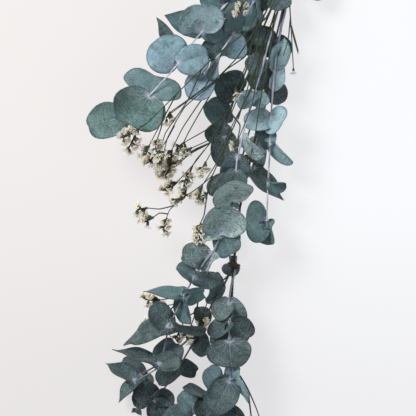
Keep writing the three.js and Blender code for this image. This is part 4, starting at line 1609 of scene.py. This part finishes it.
@dataclass
class StaticeSpray:
    """A spray of statice: wiry stems that end in one-sided heads of papery florets.

    Lengths are millimetres, and pairs are the least and the most of a seeded draw. A head that is in
    the solids takes extra florets for each of its own but the first.
    """

    plant: Plant
    maker: FloretMaker
    wire_width: float = 0.98
    twig_width: float = 0.7
    tip_width: float = 0.46
    step: float = 2.5
    wall: float = 0.14
    sides: int = 6
    solid_floret: float = 0.88
    floret: Span = (0.82, 1.1)
    extra_florets: int = 3
    back_every: int = 4
    first_place: float = 0.6
    twig_taper: float = 0.8
    axis_places: tuple[float, ...] = (0, 0.33, 0.66, 1)
    head_length: float = 15.0
    head_width: float = 1.25
    least_reach: float = 0.3
    head_lift: Span = (-18, 12)
    head_roll: Span = (-30, 30)
    head_bow: Span = (-0.2, 0.2)
    twig_ahead: Span = (0.1, 0.9)
    twig_aside: Span = (0.3, 1.0)
    twig_up: Span = (-0.35, 0.75)
    twig_length: Span = (0.4, 1.8)

    def __post_init__(self) -> None:
        """Starts the spray's draws, its wires and its florets."""
        self.dice = random.Random(self.plant.name)
        self.wires, self.florets = Sweeps(self.sides), Piece(self.plant.name + "_florets")

    def build(self, wire_look: Material, floret_looks: Sequence[Material]) -> None:
        """Builds the spray's wires and its florets.

        Args:
            wire_look: The wires' material.
            floret_looks: The materials of the cups, the bracts and the flowers.
        """
        for grown in self.plant.grown:
            self.wires.taper(smooth_path(grown.points, self.step), self.wire_width, self.tip_width)
            for floret in grown.florets:
                self.maker.add(self.florets, floret, self.solid_floret, self.dice)
            for at, heading, count in grown.stem.heads:
                self.add_head(grown.at(at), heading, self.extra_florets * (int(count) - 1))
        for extra in self.plant.spray.wires:
            grown = self.plant.grown[extra.stem]
            free = self.plant.free(extra.path, [grown.bend] * len(extra.path))
            line = smooth_path([grown.at(extra.at), *free], self.step)
            self.wires.taper(line, self.twig_width, self.tip_width)
            self.add_head(line[-1], extra.heading, extra.head.value)
        self.florets.finish(floret_looks, "floret", self.plant.name, self.wall)
        stems = Piece(self.plant.name + "_wires")
        stems.add(self.wires.mesh())
        stems.finish([wire_look], "statice", self.plant.name)

    def add_head(self, root: Vector, heading: float, count: int) -> None:
        """Adds a head: a short axis with florets along one side of it, each on its own small twig.

        Args:
            root: Where the axis starts.
            heading: The way that it points in the plan, in degrees.
            count: The number of its florets.
        """
        if not count:
            return
        dice = self.dice
        lift, roll = dice.uniform(*self.head_lift), dice.uniform(*self.head_roll)
        along, across, face = leaf_axes(heading + self.plant.turn, lift, roll)
        full = min(1.0, count / Cluster.FULL.value)
        reach = self.head_length * (self.least_reach + (1 - self.least_reach) * full)
        bow = dice.uniform(*self.head_bow)
        axis = [root + along * reach * t + across * reach * bow * t * t for t in self.axis_places]
        self.wires.taper(axis, self.head_width, self.twig_width)
        lean = dice.choice((-1, 1))
        for k in range(count):
            base = point_at(axis, (k + self.first_place) / count * (len(axis) - 1))
            side = lean if (k + 1) % self.back_every else -lean
            way = along * dice.uniform(*self.twig_ahead) + across * side * dice.uniform(*self.twig_aside)
            way = (way + face * dice.uniform(*self.twig_up)).normalized()
            tip = base + way * dice.uniform(*self.twig_length)
            self.wires.taper([base, tip], self.tip_width, self.tip_width * self.twig_taper)
            self.maker.add(self.florets, Floret(tip, way), dice.uniform(*self.floret), dice)


@dataclass(frozen=True)
class Rope:
    """A twine of strands laid round each other, with loose fibres.

    Lengths are millimetres, and pairs are the least and the most of a seeded draw.
    """

    strands: int = 3
    strand_radius: float = 0.62
    lay_radius: float = 0.68
    pitch: float = 7.5
    step: float = 0.9
    sides: int = 6
    fibre_sides: int = 4
    lay_spread: Span = (-0.07, 0.07)
    strand_spread: Span = (-0.09, 0.09)
    fibre_width: float = 0.07
    fibre_gap: float = 5.0
    fibre_spread: Span = (0.3, 1.7)
    fibre_length: Span = (1.2, 3.2)
    fibre_root: float = 0.8
    fibre_tip: float = 0.4
    fibre_rise: float = 0.6
    fibre_floor: float = 0.2

    def reach(self) -> float:
        """The twine's outer radius."""
        return self.strand_radius + self.lay_radius

    def lay(self, sweeps: Sweeps, hairs: Sweeps, route: Sequence[Vector], dice: Dice) -> None:
        """Lays the twine along a route.

        Args:
            sweeps: Takes the strands.
            hairs: Takes the loose fibres.
            route: Close points of the route.
            dice: The seeded draws for the irregularities.
        """
        normal = (route[1] - route[0]).orthogonal().normalized()
        frames, length = [], 0.0
        for i, point in enumerate(route):
            ahead = (route[min(i + 1, len(route) - 1)] - route[max(i - 1, 0)]).normalized()
            normal = (normal - ahead * normal.dot(ahead)).normalized()
            length += (point - route[max(i - 1, 0)]).length
            frames.append((point, normal, ahead.cross(normal), length))
        for k in range(self.strands):
            line, radii = [], []
            for point, across, up, run in frames:
                angle = 2 * math.pi * (run / self.pitch + k / self.strands)
                lay = self.lay_radius * (1 + dice.uniform(*self.lay_spread))
                line.append(point + across * lay * math.cos(angle) + up * lay * math.sin(angle))
                radii.append(self.strand_radius * (1 + dice.uniform(*self.strand_spread)))
            sweeps.add(line, radii)
        run = dice.uniform(0, self.fibre_gap)
        for point, across, up, length in frames:
            if length < run:
                continue
            run += dice.uniform(*self.fibre_spread) * self.fibre_gap
            angle = dice.uniform(0, 2 * math.pi)
            out = across * math.cos(angle) + up * math.sin(angle)
            ahead = across.cross(up) * dice.choice((-1, 1))
            reach = dice.uniform(*self.fibre_length)
            root = point + out * self.reach() * self.fibre_root
            tips = [root + out * reach * t * t * self.fibre_rise + ahead * reach * t for t in (0, 0.5, 1)]
            if min(tip.z for tip in tips) > self.fibre_floor:
                hairs.add(tips, [self.fibre_width, self.fibre_width, self.fibre_width * self.fibre_tip])


@dataclass
class Bindings:
    """The spine of twine, the wrap in the middle and the ties along the spine."""

    spine: Rope = Rope(strand_radius=0.8, pitch=10.0, step=1.3)
    cord: Rope = Rope()
    first_angle: float = 1.0
    tuck_run: Span = (0.0, 0.035)
    tuck: float = 0.86

    def route_of_spine(self) -> list[Vector]:
        """The spine's route, straight where it passes a ring.

        Returns:
            Its close points, from tip to tip.
        """
        half = []
        for point in SPINE_ROUTE:
            name = next((name for name, ring in RINGS.items() if ring.at == point), None)
            if name is None:
                half.append(place(point))
                continue
            centre, out, _, _ = ring_frame(name)
            reach = RINGS[name].half + STEM_OVERHANG + SPINE_MARGIN
            half += [centre if name == "wrap" else centre - out * reach, centre + out * reach]
        other = turned(half[1:], 180)
        return smooth_path([*reversed(other), *half], self.spine.step)

    def coil(self, name: str, radius: float, length: float) -> list[Vector]:
        """Winds twine round a ring's axis, its ends tucked in, and flat on the table below.

        Args:
            name: The ring's name.
            radius: The winding's outer radius.
            length: Its length along the axis.

        Returns:
            The twine's route.
        """
        centre, out, side, up = ring_frame(name)
        reach = self.cord.reach()
        turns = length / (2 * reach) - 1
        count = int(turns * 2 * math.pi * radius / self.cord.step)
        route = []
        for share in (i / count for i in range(count + 1)):
            angle = 2 * math.pi * turns * share + self.first_angle
            free = smooth_step(*self.tuck_run, min(share, 1 - share))
            ring = (radius - reach) * (self.tuck + (1 - self.tuck) * free)
            point = centre + out * (share - 0.5) * (length - 2 * reach)
            point += side * ring * math.cos(angle) + up * ring * math.sin(angle)
            point.z = max(point.z, reach)
            route.append(point)
        return route

    def piece(self, node: str, rope: Rope, route: Sequence[Vector], look: Material) -> None:
        """Builds a piece of twine.

        Args:
            node: The node that it stands for.
            rope: The twine.
            route: Its close points.
            look: Its material.
        """
        sweeps, hairs = Sweeps(rope.sides), Sweeps(rope.fibre_sides)
        rope.lay(sweeps, hairs, route, random.Random(node))
        piece = Piece(node + "_rope")
        piece.add(sweeps.mesh())
        piece.add(hairs.mesh())
        piece.finish([look], "twine", node)

    def build(self, wrap_look: Material, dark_look: Material) -> None:
        """Builds the spine, the wrap and the ties.

        Args:
            wrap_look: The wrap's material.
            dark_look: The material of the others.
        """
        self.piece("spine_twine", self.spine, self.route_of_spine(), dark_look)
        self.piece("binding_wrap", self.cord, self.coil("wrap", WRAP_RADIUS, WRAP_LENGTH), wrap_look)
        for half in HALVES:
            for name in (ring for ring in RINGS if ring != "wrap"):
                wound = turned(self.coil(name, TIE_RADIUS, TIE_LENGTH), half.turn)
                self.piece(f"{name}_{half.suffix}", self.cord, wound, dark_look)


@dataclass(frozen=True)
class Lamp:
    """A large round light: its place from the focus, its size, its power and its colour."""

    name: str
    at: Point
    size: float
    power: float
    colour: Point


@dataclass
class Studio:
    """The pale table, soft light from all round and the camera that looks straight down, in metres."""

    floor_size: float = 8.0
    floor_depth: float = 0.0002
    warm: Colour = srgb(239, 236, 235)
    cool: Colour = srgb(251, 252, 255)
    dim: Colour = srgb(222, 220, 220)
    middle: float = 0.046  # how far left of the wrap the floor turns from warm to cool
    warm_run: Span = (-0.12, 0.16)
    dim_run: Span = (-0.52, -0.2)
    dim_share: float = 0.4
    glow: float = 0.76
    matt: float = 0.22
    roughness: float = 0.9
    sky: Colour = (0.97, 0.98, 1.0, 1.0)
    sky_strength: float = 0.4
    key: Lamp = Lamp("key", (-1.2, 0.8, 1.5), 0.9, 40.0, (1.0, 0.985, 0.96))
    fill: Lamp = Lamp("fill", (0.9, -0.3, 1.7), 1.6, 5.0, (0.95, 0.975, 1.0))
    focus: Point = (-0.0459, -0.2771, 0.045)
    photo_width: float = 0.416
    lens: float = 180.0
    sensor: float = 36.0
    far: float = 20.0

    def build(self) -> None:
        """Builds the floor, the lights and the camera."""
        bm = bmesh.new()
        bmesh.ops.create_grid(bm, x_segments=1, y_segments=1, size=self.floor_size / 2)
        floor = stand("floor", meshed(bm, "floor"))
        floor.location.z = -self.floor_depth
        floor.data.materials.append(self.floor_look())
        self.light()
        view = bpy.data.cameras.new("camera")
        view.lens, view.sensor_width, view.clip_end = self.lens, self.sensor, self.far
        camera = stand("camera", view)
        camera.location = Vector(self.focus) + UP * self.photo_width * self.lens / self.sensor
        camera.rotation_euler = (0, 0, math.radians(SLANT))
        bpy.context.scene.camera = camera
        bpy.context.scene.view_settings.view_transform = "Standard"

    def floor_look(self) -> Material:
        """Builds the floor's material, which glows a little.

        Returns:
            The material, warmer at one side and dim at one end.
        """
        graph = Graph("pale_floor")
        across, down = (graph.place().axis(number) for number in (0, 1))
        dim = down.below(*self.dim_run) * self.dim_share
        cool = (across + self.middle).band(*self.warm_run)
        tone = graph.layered(self.warm, (cool, self.cool), (dim, self.dim))
        graph.feed(graph.shader.inputs["Emission Color"], tone)
        return graph.finish(graph.layered(srgb(0, 0, 0), (self.matt, tone)), self.roughness, tone, 0.0,
                            Specular_IOR_Level=0.1, Emission_Strength=self.glow)

    def light(self) -> None:
        """Builds the sky and the lamps, which face the runner."""
        world = bpy.data.worlds.new("studio")
        world.use_nodes = True
        sky = world.node_tree.nodes["Background"]
        sky.inputs["Color"].default_value = self.sky
        sky.inputs["Strength"].default_value = self.sky_strength
        bpy.context.scene.world = world
        for lamp in (self.key, self.fill):
            light = bpy.data.lights.new(lamp.name, "AREA")
            light.shape, light.size, light.energy, light.color = "DISK", lamp.size, lamp.power, lamp.colour
            made, at = stand(lamp.name, light), Vector(lamp.at)
            made.location = at + Vector(self.focus)
            made.rotation_euler = (-at).to_track_quat("-Z", "Y").to_euler()


def main() -> None:
    """Builds the studio, the bindings and every plant."""
    Studio().build()
    leaf = LeafFinish().material()
    barks = {
        Bark.PALE: (srgb(204, 210, 226), srgb(168, 176, 194), srgb(116, 112, 118)),
        Bark.GREY: (srgb(150, 158, 174), srgb(112, 120, 132), srgb(80, 80, 84)),
        Bark.DUSKY: (srgb(112, 112, 132), srgb(78, 80, 86), srgb(54, 52, 50)),
    }
    bark_looks = {bark: BarkFinish(bark.value, *tones).material() for bark, tones in barks.items()}
    wire = BarkFinish("statice_wire", srgb(32, 50, 32), srgb(56, 72, 40), srgb(24, 30, 24)).material()
    papers = [look.material() for look in (
        PaperFinish("statice_cup", srgb(232, 160, 66), srgb(255, 240, 206), srgb(252, 204, 140), 1.0),
        PaperFinish("statice_bract", srgb(38, 48, 26), srgb(92, 92, 48), srgb(128, 84, 42)),
        PaperFinish("statice_flower", srgb(214, 150, 60), srgb(246, 226, 150), srgb(236, 184, 90)),
    )]
    jute = TwineFinish("jute", srgb(112, 88, 60), srgb(164, 138, 100), srgb(70, 54, 38)).material()
    dark = TwineFinish("dark_jute", srgb(54, 48, 38), srgb(98, 84, 64), srgb(32, 32, 26)).material()
    Bindings().build(jute, dark)
    leaves, florets = LeafMaker(), FloretMaker()
    for half in HALVES:
        for order, spray in enumerate(SPRAYS):
            plant = Plant(spray, order, half)
            if plant.woody:
                Sprig(plant).build(leaves, leaf, bark_looks[spray.bark])
            else:
                StaticeSpray(plant, florets).build(wire, papers)


if __name__ == "__main__":
    main()
